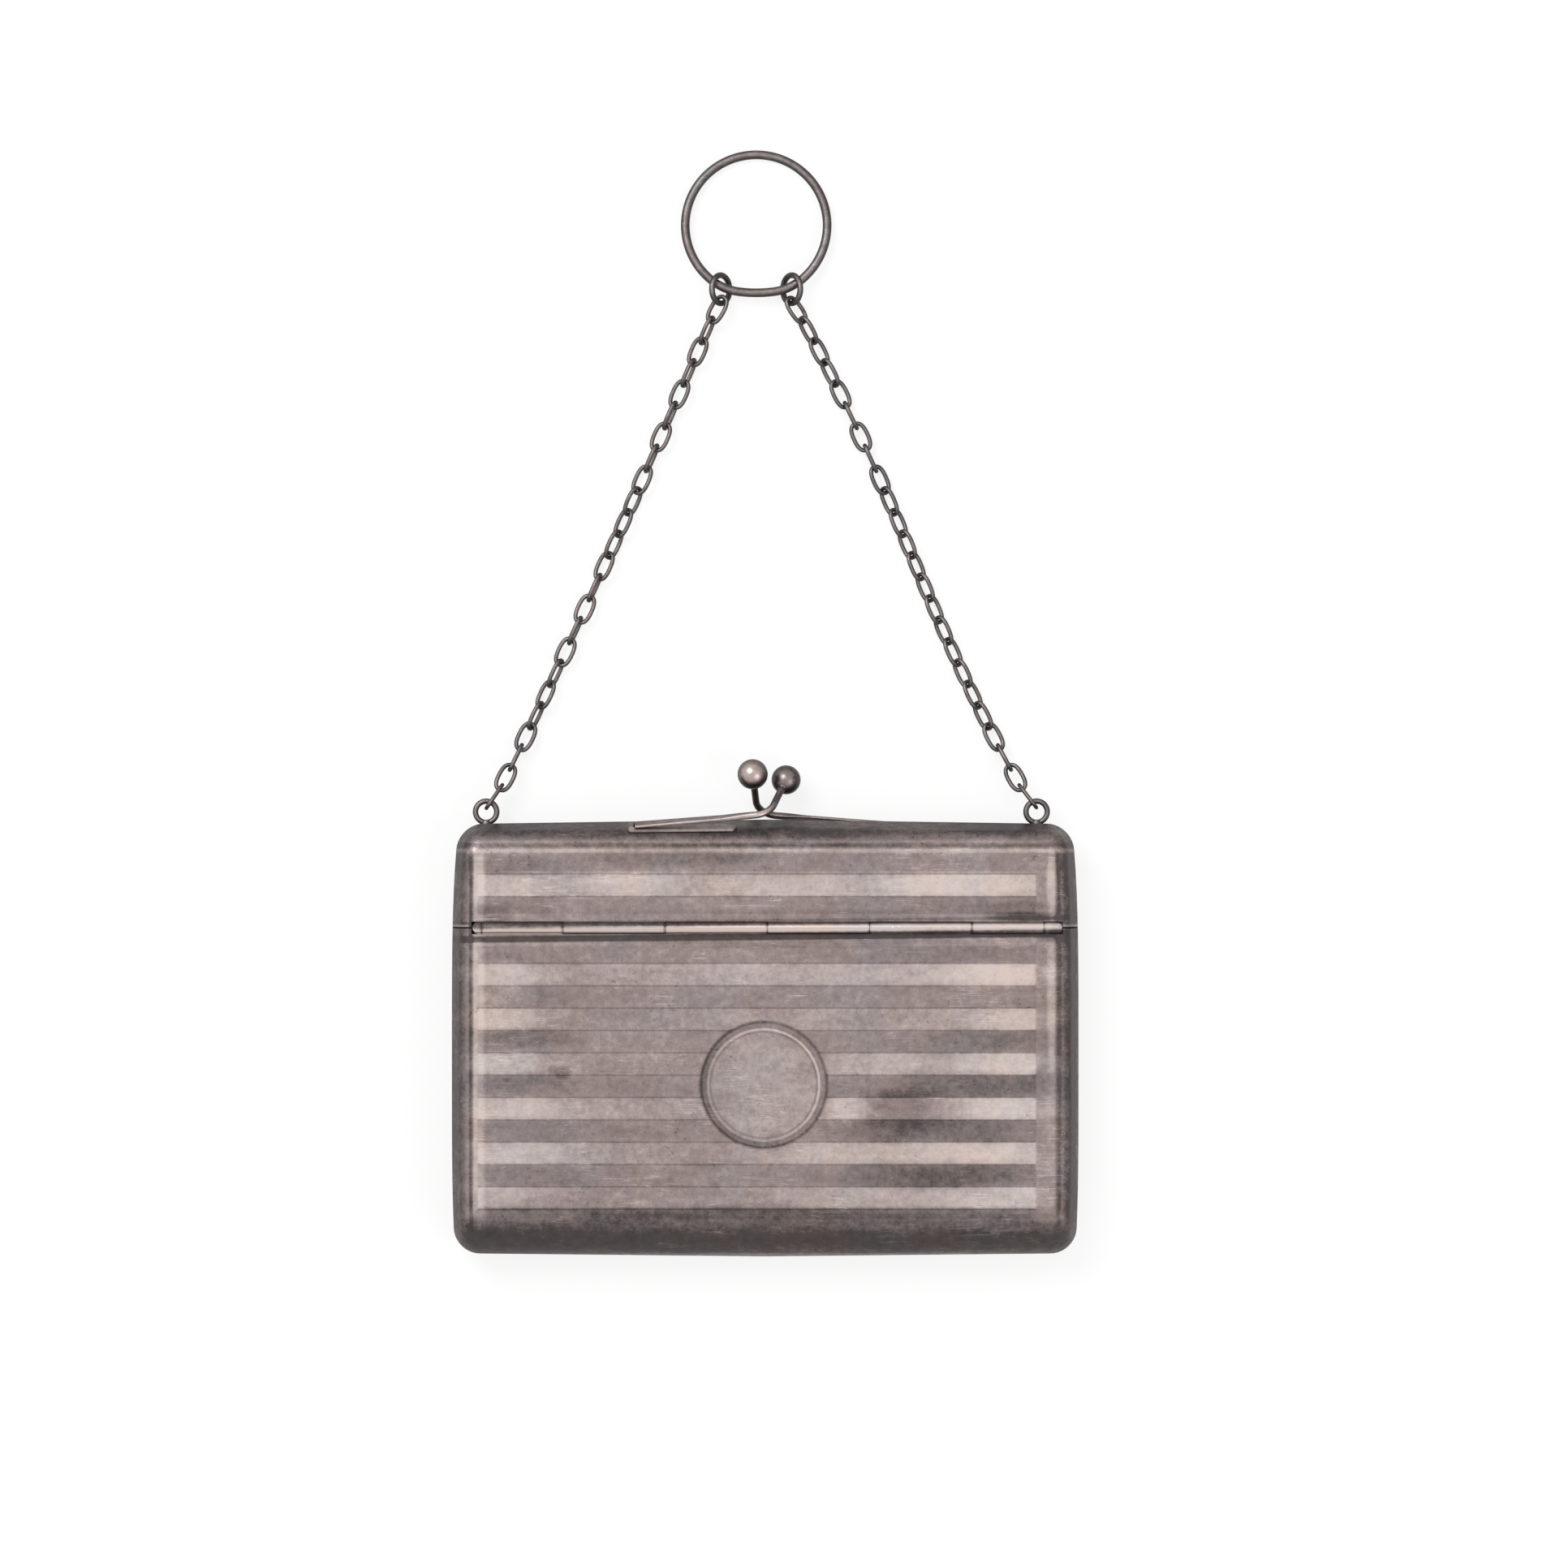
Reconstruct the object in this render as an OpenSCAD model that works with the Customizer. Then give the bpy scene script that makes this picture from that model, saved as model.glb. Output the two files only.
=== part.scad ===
// Silver card case on a finger-ring chain, lying on its back.
// X runs to the right, Y towards the chain and Z out of the front face.
// The origin is on the back face, in the middle of the case. Sizes are in millimetres.

/* [Case] */
// Width across the seam, at the widest place
case_w = 90; // [80:0.5:100]
// Thickness of the closed case
case_d = 11; // [10:0.25:13]
// Height of the top seam over the origin, at the corners
upper_h = 30.85; // [29:0.05:33]
// Depth of the bottom seam under the origin, at the corners
lower_h = 30.8; // [29:0.05:33]
// Rise of the top edge from the corners to its middle
top_crown = 0.65; // [0:0.05:1.2]
// Drop of the bottom edge from the corners to its middle
bottom_crown = 0.45; // [0:0.05:1]
// Thickness of the silver sheet
wall = 0.5; // [0.35:0.05:0.7]
// Width of the rolled edge at the sides
side_roll = 3; // [2.6:0.1:4]
// Width of the rolled edge at the top
top_roll = 3.65; // [3.2:0.05:4.5]
// Width of the rolled edge at the bottom
bottom_roll = 6.1; // [4:0.1:7]
// Slope of a rolled edge where it reaches the seam, in degrees from flat
roll_slope = 75; // [70:1:80]
// Corner radius at the seam
corner_r = 3.6; // [2.5:0.1:5]
// Corner radius of the flat panel
panel_corner_r = 0.8; // [0.5:0.1:1.5]
// How much each side draws in at the top
side_draw = 0.9; // [0:0.1:2]
// Height at which the case is widest
widest_y = -3; // [-10:1:4]
// Height over the widest place at which a side has drawn in that much
draw_span = 33; // [28:1:40]

/* [Panel pattern] */
// Spacing of the engine-turned bands
band_pitch = 6.4; // [5:0.1:8]
// Width of a band
band_w = 3.2; // [2:0.1:4]
// Depth of a band
band_depth = 0.06; // [0.03:0.01:0.12]
// Middle of the band on the lid
lid_band_y = 22.1; // [21:0.1:23]
// Number of bands on the lower front
band_count = 6; // [3:1:6]
// Left end of the bands
band_left = -41.2; // [-41.5:0.1:-36]
// Right end of the bands
band_right = 38.8; // [34:0.1:41]
// Middle of the round cartouche, across
cartouche_x = -0.2; // [-3:0.1:3]
// Middle of the round cartouche, up
cartouche_y = -6.5; // [-9:0.1:-2]
// Outer radius of the groove round the cartouche
cartouche_r = 9.1; // [7:0.1:11]
// Width of that groove
groove_w = 1.2; // [0.6:0.1:1.6]
// Depth of that groove
groove_depth = 0.14; // [0.05:0.01:0.2]

/* [Lid and hinge] */
// Height of the hinge line
hinge_y = 16; // [13:0.1:18]
// Outside diameter of the hinge barrel
barrel_d = 1.6; // [1.3:0.05:2]
// Height of the hinge axis over the front face
hinge_proud = 0.4; // [0.3:0.05:0.6]
// Diameter of the hinge pin
pin_d = 0.7; // [0.5:0.05:0.9]
// Clearance all round the pin
pin_clearance = 0.03; // [0.02:0.01:0.06]
// Left end of the knuckles
hinge_from = -40.6; // [-41.2:0.1:-36]
// Right end of the knuckles
hinge_to = 39.9; // [36:0.1:41]
// Length of an inner knuckle
knuckle_pitch = 14.65; // [12:0.05:16]
// Place of the middle joint between knuckles
knuckle_mid = 0.3; // [-2:0.1:2]
// Gap between neighbouring knuckles
knuckle_gap = 0.08; // [0.04:0.01:0.2]
// Length of the left end cap of the hinge
left_cap = 1.3; // [1:0.1:1.5]
// Length of the right end cap of the hinge
right_cap = 2.6; // [1.5:0.1:2.8]
// Height of the dome on an end cap
cap_dome = 0.5; // [0.3:0.05:0.7]
// Length of the web under an end cap
cap_web = 0.6; // [0.4:0.05:0.8]
// Step from the faces of the sheet to a web
web_step = 0.06; // [0.04:0.01:0.1]
// Clearance between the barrel and the channel that it lies in
barrel_clearance = 0.1; // [0.06:0.01:0.2]
// Width of the slit between the lid and the lower front
lid_slit = 0.2; // [0.16:0.02:0.5]
// Gap between the shut lid and the back shell
lid_gap = 0.08; // [0.05:0.01:0.15]

/* [Inner lip] */
// Thickness of the lip inside the mouth
lip_t = 0.35; // [0.25:0.05:0.5]
// How far the lip stands over the seam
lip_over = 1.2; // [0.8:0.1:1.6]
// How far the lip reaches under the seam
lip_under = 1.4; // [0.8:0.1:2]
// Clearance between the lip and the lid
lip_clearance = 0.12; // [0.08:0.01:0.25]
// Height of the foot by which the lip is soldered in
lip_foot = 0.4; // [0.3:0.05:0.6]
// Distance from the hinge line to the ends of the lip
lip_start = 1.5; // [1:0.1:4]

/* [Clasp] */
// Width of a spring arm
strip_w = 1.5; // [1.2:0.1:2]
// Thickness of a spring arm
strip_t = 0.42; // [0.35:0.01:0.5]
// Width of a spring arm where it becomes the stem
strip_tip_w = 1; // [0.9:0.05:1.4]
// Distance from the seam to the middle of a spring arm
strip_seat = 3.9; // [2:0.1:4]
// Distance from the middle of the case to the fold of the front arm
front_fold = 19.6; // [16:0.1:24]
// Distance from the middle of the case to the fold of the rear arm
rear_fold = 18.3; // [16:0.1:24]
// Length of the lower leaf that is soldered down
base_l = 15.5; // [10:0.5:16]
// Angle between the two leaves of an arm
arm_rise = 4.7; // [3:0.1:8]
// Gap between the two leaves beside the fold
leaf_gap = 0.1; // [0.06:0.01:0.2]
// Clearance round the fold
fold_clearance = 0.03; // [0.02:0.01:0.06]
// Distance from the middle of the case at which a leaf becomes a stem
stem_start = 1.5; // [1:0.1:2.5]
// Length of a stem that is sunk in its leaf
stem_root = 0.6; // [0.4:0.1:1]
// Thickness of the solder under a piece
solder = 0.04; // [0.02:0.01:0.08]
// Diameter of a stem
stem_d = 1; // [0.7:0.02:1]
// Bend radius of a stem
stem_bend = 3; // [2.4:0.1:3.2]
// Diameter of the front arm's ball
front_ball_d = 4.2; // [3.8:0.05:4.3]
// Diameter of the rear arm's ball
rear_ball_d = 4.35; // [3.8:0.05:4.4]
// How far the front ball lies past the middle of the case
front_ball_x = 3; // [2.8:0.1:3.6]
// How far the rear ball lies past the middle of the case
rear_ball_x = 1.8; // [1.7:0.1:2.4]
// Height of the front ball over the origin
front_ball_y = 37.2; // [36.8:0.1:38.4]
// Height of the rear ball over the origin
rear_ball_y = 38; // [37:0.1:38.6]
// How far each ball lies past the seam, towards the other arm
ball_cross = 1.4; // [0.5:0.1:1.8]
// Depth of a stem in its ball
stem_socket = 1.2; // [0.8:0.1:1.6]
// Clearance round a stem in its ball
socket_clearance = 0.02; // [0.01:0.01:0.04]

/* [Eyelets] */
// Place of the left eyelet
left_eyelet_x = -40.1; // [-40.2:0.1:-34]
// Place of the right eyelet
right_eyelet_x = 39; // [34:0.1:40.2]
// Radius of an eyelet at the middle of its wire
eyelet_r = 1.53; // [1.4:0.01:1.8]
// Wire diameter of an eyelet
eyelet_wire = 0.8; // [0.5:0.01:0.9]
// Distance of an eyelet behind the seam
eyelet_back = 1.1; // [0.8:0.05:1.5]
// Radius of an eyelet's foot
foot_r = 0.75; // [0.5:0.05:1]
// Height of an eyelet's foot under its wire
foot_h = 0.05; // [0.03:0.01:0.3]

/* [Chain] */
// Number of links on each side
link_count = 24; // [12:1:24]
// Length over all of a link
link_l = 4.68; // [4.2:0.02:5]
// Width over all of a link
link_w = 2.7; // [2.4:0.02:3]
// Wire diameter of a link
link_wire = 0.62; // [0.46:0.02:0.7]
// Play between two links
link_play = 0.063; // [0.05:0.001:0.1]
// Clearance under a link that stands on its edge
floor_clearance = 0.02; // [0.01:0.01:0.1]
// How far the left run bows inwards
left_bow = 0.45; // [0:0.05:1]
// How far the right run waves to each side
right_wave = 0.6; // [0:0.05:1]
// Drop of the first link from the eyelet towards the table
first_drop = 0.95; // [0.6:0.05:1.1]
// Drop of the second link, counted from the eyelet
second_drop = 1.95; // [1.6:0.05:2.4]
// Drop of the third link, counted from the eyelet
third_drop = 2.7; // [2.4:0.05:2.9]
// Rise of the last links towards the jump rings
last_lift = 0.45; // [0:0.05:0.6]

/* [Finger ring] */
// Outer diameter of the finger ring
ring_d = 21.7; // [19:0.1:24]
// Wire diameter of the finger ring
ring_wire = 1.28; // [1:0.02:1.4]
// How far the ring is flattened between the jump rings
ring_flat = 0.45; // [0.4:0.05:1.2]
// Radius of the flattened stretch
flat_r = 20; // [16:1:30]
// Half of the angle over which the ring leaves its circle
flat_angle = 40; // [34:1:46]
// Place of the finger ring's middle, across
ring_x = -1.3; // [-3:0.1:3]
// Distance from the ring's middle to each jump ring, across
jump_x = 5.1; // [4.7:0.1:5.6]
// Radius of a jump ring at the middle of its wire
jump_r = 2.03; // [2:0.01:2.2]
// Wire diameter of a jump ring
jump_wire = 0.9; // [0.6:0.01:1]
// Turn of a jump ring out of the plane of the case
jump_turn = 52; // [45:1:60]
// How far the finger ring's wire lies over the middle of a jump ring
jump_lift = 0.45; // [0.3:0.05:0.6]
// Play between the last link and its jump ring
jump_play = 0.16; // [0.1:0.01:0.25]
// Play between the first link and its eyelet
eyelet_play = 0.25; // [0.12:0.01:0.3]

/* [Hidden] */
row_names = [for (k = [1 : link_count]) str("chain_row_", k < 10 ? "0" : "", k)];

$fn = 48;
// a cut runs past a face by this much
past = 1;
// where two lengths of wire join, the thicker one laps over the end of the other
lap = 0.08;
lap_step = 0.02;

half_w = case_w / 2;
seam_z = case_d / 2;
panel_half_w = half_w - side_roll;
panel_top = upper_h - top_roll;
panel_bottom = lower_h - bottom_roll;
hinge_z = case_d + hinge_proud;
barrel_r = barrel_d / 2;
bore_r = pin_d / 2 + pin_clearance;

// Radius of the round part of a rolled edge that is w wide
function roll_r(w) = (w * sin(roll_slope) - seam_z * cos(roll_slope)) / (1 - cos(roll_slope));

// How far a rolled edge reaches past the panel at depth h under the face, on the skin or inset from it
function straight_from(r, inner) = r - inner * cos(roll_slope);
function reach(w, h, inset) =
    let (r = roll_r(w), inner = r - inset, straight = straight_from(r, inner))
    h <= straight ? sqrt(max(0, inner * inner - (r - h) * (r - h)))
        : inner * sin(roll_slope) + (h - straight) / tan(roll_slope);

// The sides draw in towards the top and bottom, mostly near the corners, and the top and bottom
// edges are crowned
function bowed(p) =
    let (x = p[0] * (1 - side_draw * pow((p[1] - widest_y) / draw_span, 4) / half_w),
        lean = 1 - abs(x) / half_w,
        up = max(0, p[1] - panel_top) / top_roll,
        down = max(0, -panel_bottom - p[1]) / bottom_roll)
    [x, p[1] + lean * (top_crown * up - bottom_crown * down)];

corner_steps = 5;
top_steps = 4;
side_steps = 3;

// The stretches of a ring round the case, each from its own start and without its last point
function run(a, b, steps) = [for (i = [0 : steps - 1]) a + (b - a) * i / steps];
function bend(centre, r, from) =
    [for (i = [0 : corner_steps - 1])
        let (a = from + 90 * i / corner_steps)
        centre + r * [cos(a), sin(a)]];

// A ring at depth h under the face. cut is the height at which an open ring starts and ends, and
// part is 0 for a whole ring, 1 for the part over the cut and -1 for the part under it.
function ring(h, inset, part, cut) =
    let (w = panel_half_w + reach(side_roll, h, inset),
        top = panel_top + reach(top_roll, h, inset),
        low = -panel_bottom - reach(bottom_roll, h, inset),
        r = panel_corner_r + (corner_r - panel_corner_r) * (w - panel_half_w) / side_roll,
        upper = concat(bend([w - r, top - r], r, 0),
            run([w - r, top], [r - w, top], top_steps), bend([r - w, top - r], r, 90)),
        lower = concat(bend([r - w, low + r], r, 180),
            run([r - w, low], [w - r, low], top_steps), bend([w - r, low + r], r, 270)),
        open = part > 0
            ? concat(run([w, cut], [w, top - r], side_steps), upper,
                run([-w, top - r], [-w, cut], side_steps), [[-w, cut]])
            : concat(run([-w, cut], [-w, low + r], side_steps), lower,
                run([w, low + r], [w, cut], side_steps), [[w, cut]]),
        whole = concat(upper, run([-w, top - r], [-w, low + r], 2 * side_steps), lower,
            run([w, low + r], [w, top - r], 2 * side_steps)))
    [for (p = part == 0 ? whole : open) bowed(p)];

// Depths of the rings as shares of the whole depth, close together where the edge turns most
levels = [for (a = [90, 64, 50, 38, 27, 15, 0]) 1 - cos(a)];

function quad(a, b, c, d) = [[a, b, c], [a, c, d]];
function flat_list(lists) = [for (l = lists) each l];

// A pressed tray with its rim at z = rim and its panel at z = seam_z
module tray(part, cut, rim) {
    skins = [for (inset = [0, wall]) [for (l = levels)
        let (h = inset + (seam_z - rim - inset) * l)
        [for (p = ring(h, inset, part, cut)) [p[0], p[1], seam_z - h]]]];
    n = len(skins[0][0]);
    m = len(levels);
    last = part == 0 ? n - 1 : n - 2;
    function o(l, i) = l * n + i % n;
    function q(l, i) = m * n + l * n + i % n;
    walls = flat_list([for (l = [0 : m - 2]) for (i = [0 : last])
        concat(quad(o(l, i), o(l + 1, i), o(l + 1, i + 1), o(l, i + 1)),
            quad(q(l, i), q(l, i + 1), q(l + 1, i + 1), q(l + 1, i)))]);
    rim_faces = flat_list([for (i = [0 : last]) quad(o(0, i), o(0, i + 1), q(0, i + 1), q(0, i))]);
    ends = part == 0 ? [] : flat_list([for (l = [0 : m - 2])
        concat(quad(o(l, 0), q(l, 0), q(l + 1, 0), o(l + 1, 0)),
            quad(o(l, n - 1), o(l + 1, n - 1), q(l + 1, n - 1), q(l, n - 1)))]);
    edge = part == 0 ? [] : quad(o(m - 1, 0), q(m - 1, 0), q(m - 1, n - 1), o(m - 1, n - 1));
    caps = [[for (i = [n - 1 : -1 : 0]) o(m - 1, i)], [for (i = [0 : n - 1]) q(m - 1, i)]];
    polyhedron(points = flat_list(concat(skins[0], skins[1])),
        faces = concat(walls, rim_faces, ends, edge, caps), convexity = 6);
}

function unit(v) = v / norm(v);

// The slot along the front in which the hinge barrel lies
module hinge_slot() {
    half = barrel_r + barrel_clearance;
    translate([hinge_from - left_cap - knuckle_gap - barrel_clearance, hinge_y - half, hinge_z - half])
        cube([hinge_to - hinge_from + left_cap + right_cap + 2 * (knuckle_gap + barrel_clearance),
            2 * half, 2 * half]);
}

// One engine-turned band, sunk into the front face
module band(middle) {
    translate([band_left, middle - band_w / 2, case_d - band_depth])
        cube([band_right - band_left, band_w, band_depth + past]);
}

module cartouche_groove() {
    translate([cartouche_x, cartouche_y, case_d - groove_depth]) difference() {
        cylinder(r = cartouche_r, h = groove_depth + past);
        translate([0, 0, -past]) cylinder(r = cartouche_r - groove_w, h = groove_depth + 3 * past);
    }
}

module back_shell() color("#9a8f8d")
    translate([0, 0, seam_z]) mirror([0, 0, 1]) tray(0, 0, 0);

module front_shell() color("#a3979a") difference() {
    translate([0, 0, seam_z]) tray(-1, hinge_y - lid_slit / 2, 0);
    hinge_slot();
    difference() {
        for (i = [1 : band_count]) band(lid_band_y - (i + 1) * band_pitch);
        translate([cartouche_x, cartouche_y, case_d - past]) cylinder(r = cartouche_r, h = 3 * past);
    }
    cartouche_groove();
}

module lid_flap() color("#a3979a") difference() {
    translate([0, 0, seam_z]) tray(1, hinge_y + lid_slit / 2, lid_gap);
    hinge_slot();
    band(lid_band_y);
}

// A strip round the inside of the upper walls, between two insets from the skin as it is at height z
module strip_round(z, from_inset, to_inset, base, height) {
    h = seam_z - abs(z - seam_z);
    outer = ring(h, from_inset, 1, hinge_y + lip_start);
    inner = ring(h, to_inset, 1, hinge_y + lip_start);
    translate([0, 0, base]) linear_extrude(height)
        polygon(concat(outer, [for (i = [len(inner) - 1 : -1 : 0]) inner[i]]));
}

// The lip stands inside the mouth, clear of the lid's sloping wall, on a foot soldered to the back shell
module inner_lip() color("#8b807d") {
    face = wall + lip_clearance;
    foot = seam_z - lip_under;
    strip_round(seam_z + lip_over, face, face + lip_t, foot, lip_under + lip_over);
    strip_round(foot, wall, face + lip_t, foot, lip_foot);
}

// The ends of the knuckles, from the left end of the hinge to its right end
knuckle_edges = [hinge_from, for (k = [-2 : 2]) knuckle_mid + k * knuckle_pitch, hinge_to];

// A web from the barrel to a plate; side is 1 for the lid's plate and -1 for the lower front's
module hinge_web(length, side) {
    reach_y = barrel_r + barrel_clearance;
    translate([0, side > 0 ? bore_r : -reach_y, case_d - wall + web_step - hinge_z])
        cube([length, reach_y - bore_r, wall - 2 * web_step]);
}

module knuckle(from, to, side) {
    translate([from, hinge_y, hinge_z]) difference() {
        union() {
            rotate([0, 90, 0]) cylinder(r = barrel_r, h = to - from);
            hinge_web(to - from, side);
        }
        translate([-past, 0, 0]) rotate([0, 90, 0]) cylinder(r = bore_r, h = to - from + 2 * past);
    }
}

// Every second knuckle, counted from the left end
module knuckles(first, side) {
    for (k = [first : 2 : len(knuckle_edges) - 2])
        knuckle(knuckle_edges[k] + knuckle_gap / 2, knuckle_edges[k + 1] - knuckle_gap / 2, side);
}

module body_knuckles() color("#b5a99c") knuckles(0, -1);

module lid_knuckles() color("#b5a99c") knuckles(1, 1);

module hinge_pin() color("#8a8180")
    translate([hinge_from - left_cap / 2, hinge_y, hinge_z]) rotate([0, 90, 0])
        cylinder(d = pin_d, h = hinge_to - hinge_from + left_cap / 2 + right_cap / 2);

// A domed cap with a socket for the end of the pin, and a web to the lower front
module end_cap(length) {
    dome = (cap_dome * cap_dome + barrel_r * barrel_r) / (2 * cap_dome);
    spread = asin(barrel_r / dome);
    difference() {
        union() {
            rotate([90, 0, 90]) rotate_extrude() polygon(concat([[0, 0], [barrel_r, 0]],
                [for (k = [0 : 5])
                    let (a = spread * (1 - k / 6))
                    [dome * sin(a), length - dome + dome * cos(a)]],
                [[0, length]]));
            hinge_web(cap_web, -1);
        }
        translate([-past, 0, 0]) rotate([0, 90, 0])
            cylinder(r = bore_r, h = length / 2 + past + pin_clearance);
    }
}

module hinge_end_caps() color("#a3979a") {
    translate([hinge_from - knuckle_gap / 2, hinge_y, hinge_z]) mirror([1, 0, 0]) end_cap(left_cap);
    translate([hinge_to + knuckle_gap / 2, hinge_y, hinge_z]) end_cap(right_cap);
}

// Height of the top wall's skin at x, for a place z over the back, and how far the wall leans there
function crowned(x) = 1 + top_crown * (1 - abs(x) / half_w) / top_roll;
function top_skin(x, z) =
    panel_top + crowned(x) * reach(top_roll, seam_z - abs(z - seam_z), 0);
function top_lean(x, z) =
    let (r = roll_r(top_roll), under = r - (seam_z - abs(z - seam_z)))
    under < r - straight_from(r, r) ? atan(crowned(x) / tan(roll_slope))
        : atan(crowned(x) * under / sqrt(r * r - under * under));

function turn_x(v, a) = [v[0], v[1] * cos(a) - v[2] * sin(a), v[1] * sin(a) + v[2] * cos(a)];
function turn_z(v, a) = [v[0] * cos(a) - v[1] * sin(a), v[0] * sin(a) + v[1] * cos(a), v[2]];

// The clasp is drawn as the front arm, which lies to the left. The rear arm is the same thing
// turned over the seam and over to the right.
seat_z = seam_z + strip_seat;
fold_r = strip_t + leaf_gap / 2;
seat_lean = top_lean(front_fold / 2, seat_z);
seat_slope = atan((top_skin(0, seat_z) - top_skin(1, seat_z)));

function from_seat(v) = turn_z(turn_x(v, seat_lean), seat_slope);
function fold_centre(fold) =
    [-fold, top_skin(fold, seat_z), seat_z] + from_seat([fold_r, solder + fold_r, 0]);
function leaf_dir() = from_seat([cos(arm_rise), sin(arm_rise), 0]);
function leaf_normal() = from_seat([-sin(arm_rise), cos(arm_rise), 0]);
function leaf_l(fold) = fold - fold_r - stem_start;
function leaf_end(fold) =
    fold_centre(fold) + leaf_l(fold) * leaf_dir() + (leaf_gap + strip_t) / 2 * leaf_normal();

// A stem starts along its leaf and bends in one plane towards the middle of its ball
function stem_to(ball, fold) = ball - leaf_end(fold);
function stem_a(ball, fold) = stem_to(ball, fold) * leaf_dir();
function stem_side(ball, fold) = stem_to(ball, fold) - stem_a(ball, fold) * leaf_dir();
function stem_b(ball, fold) = norm(stem_side(ball, fold));
function stem_run(ball, fold) =
    sqrt(pow(stem_a(ball, fold), 2) + pow(stem_b(ball, fold) - stem_bend, 2) - stem_bend * stem_bend);
function stem_turn(ball, fold) =
    atan2(stem_b(ball, fold) - stem_bend, stem_a(ball, fold)) + atan2(stem_bend, stem_run(ball, fold));

// The frame of a stem: its first direction, the side it bends to, and the axis it bends about
module stem_frame(ball, fold) {
    p = leaf_end(fold);
    u = leaf_dir();
    v = stem_side(ball, fold) / stem_b(ball, fold);
    w = cross(u, v);
    multmatrix([[u[0], v[0], w[0], p[0]], [u[1], v[1], w[1], p[1]], [u[2], v[2], w[2], p[2]]]) children();
}

module at_seat(fold) {
    translate([-fold, top_skin(fold, seat_z), seat_z]) rotate([0, 0, seat_slope]) rotate([seat_lean, 0, 0])
        children();
}

// The lower leaf, soldered to the wall, and the round fold that it starts from
module clasp_base(fold) {
    at_seat(fold) {
        translate([fold_r, solder + fold_r, -strip_w / 2]) cylinder(r = fold_r, h = strip_w);
        translate([0, solder + strip_t, 0]) rotate([90, 0, 0]) linear_extrude(strip_t) {
            translate([fold_r, -strip_w / 2]) square([base_l - fold_r - strip_w / 2, strip_w]);
            translate([base_l - strip_w / 2, 0]) circle(d = strip_w);
        }
    }
}

// The upper leaf with its stem
module clasp_arm(ball, fold) {
    l = leaf_l(fold);
    turn = stem_turn(ball, fold);
    at_seat(fold) translate([fold_r, solder + fold_r, 0]) rotate([0, 0, arm_rise]) difference() {
        translate([0, leaf_gap / 2 + strip_t, 0]) rotate([90, 0, 0]) linear_extrude(strip_t)
            polygon([[0, -strip_w / 2], [l, -strip_tip_w / 2], [l, strip_tip_w / 2], [0, strip_w / 2]]);
        translate([0, 0, -strip_w]) cylinder(r = fold_r + fold_clearance, h = 2 * strip_w);
    }
    stem_frame(ball, fold) {
        translate([-stem_root, 0, 0]) rotate([0, 90, 0])
            cylinder(d = stem_d + 2 * lap_step, h = stem_root + lap);
        translate([0, stem_bend, 0]) rotate([0, 0, -90]) rotate_extrude(angle = turn)
            translate([stem_bend, 0]) circle(d = stem_d);
        translate([stem_bend * sin(turn), stem_bend * (1 - cos(turn)), 0]) rotate([0, 0, turn])
            translate([-lap, 0, 0]) rotate([0, 90, 0])
            cylinder(d = stem_d + 2 * lap_step,
                h = lap + stem_run(ball, fold) - ball_r(ball) + stem_socket);
    }
}

function ball_r(ball) = ball == front_ball_at ? front_ball_d / 2 : rear_ball_d / 2;

module clasp_ball(ball, fold) {
    r = ball_r(ball);
    stem_frame(ball, fold) translate([stem_a(ball, fold), stem_b(ball, fold), 0])
        rotate([0, 0, stem_turn(ball, fold)]) difference() {
            sphere(r = r);
            translate([-r - past, 0, 0]) rotate([0, 90, 0])
                cylinder(d = stem_d + 2 * (lap_step + socket_clearance),
                    h = past + stem_socket + socket_clearance);
        }
}

front_ball_at = [front_ball_x, front_ball_y, seam_z - ball_cross];
// drawn on the left, so its place is mirrored over the seam and the middle
rear_ball_at = [rear_ball_x, rear_ball_y, seam_z - ball_cross];

module to_rear() {
    translate([0, 0, seam_z]) rotate([0, 180, 0]) translate([0, 0, -seam_z]) children();
}

module front_clasp_base() color("#bdb1a6") clasp_base(front_fold);

module front_clasp_arm() color("#c4b8ac") clasp_arm(front_ball_at, front_fold);

module front_ball() color("#c4b8ac") clasp_ball(front_ball_at, front_fold);

module rear_clasp_base() color("#bdb1a6") to_rear() clasp_base(rear_fold);

module rear_clasp_arm() color("#c4b8ac") to_rear() clasp_arm(rear_ball_at, rear_fold);

module rear_ball() color("#c4b8ac") to_rear() clasp_ball(rear_ball_at, rear_fold);

// An eyelet is a round wire ring on a short foot, soldered to the top wall of the back shell
eyelet_z = seam_z - eyelet_back;
function eyelet_y(x) = top_skin(x, eyelet_z) + foot_h + eyelet_r + eyelet_wire / 2;

module eyelet(x) {
    translate([x, eyelet_y(x), eyelet_z])
        rotate_extrude() translate([eyelet_r, 0]) circle(d = eyelet_wire);
    translate([x, top_skin(x, eyelet_z), eyelet_z]) rotate([-90 - top_lean(x, eyelet_z), 0, 0])
        translate([0, 0, solder]) cylinder(r = foot_r, h = foot_h + eyelet_wire * 0.6);
}

module left_eyelet() color("#8f8480") eyelet(left_eyelet_x);

module right_eyelet() color("#8f8480") eyelet(right_eyelet_x);

// The chain. Points 0 to link_count are the places where the links hook into their neighbours;
// the first is in an eyelet's wire and the last in a jump ring's wire.
end_a = (link_l - link_wire) / 2;
hooked = link_wire + link_play;
first_hook = (eyelet_wire + link_wire) / 2 + eyelet_play;
last_hook = (jump_wire + link_wire) / 2 + jump_play;
function span(k) = k == 1 ? 2 * end_a - first_hook - hooked / 2
    : k == link_count ? 2 * end_a - last_hook - hooked / 2 : 2 * end_a - hooked;

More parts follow.
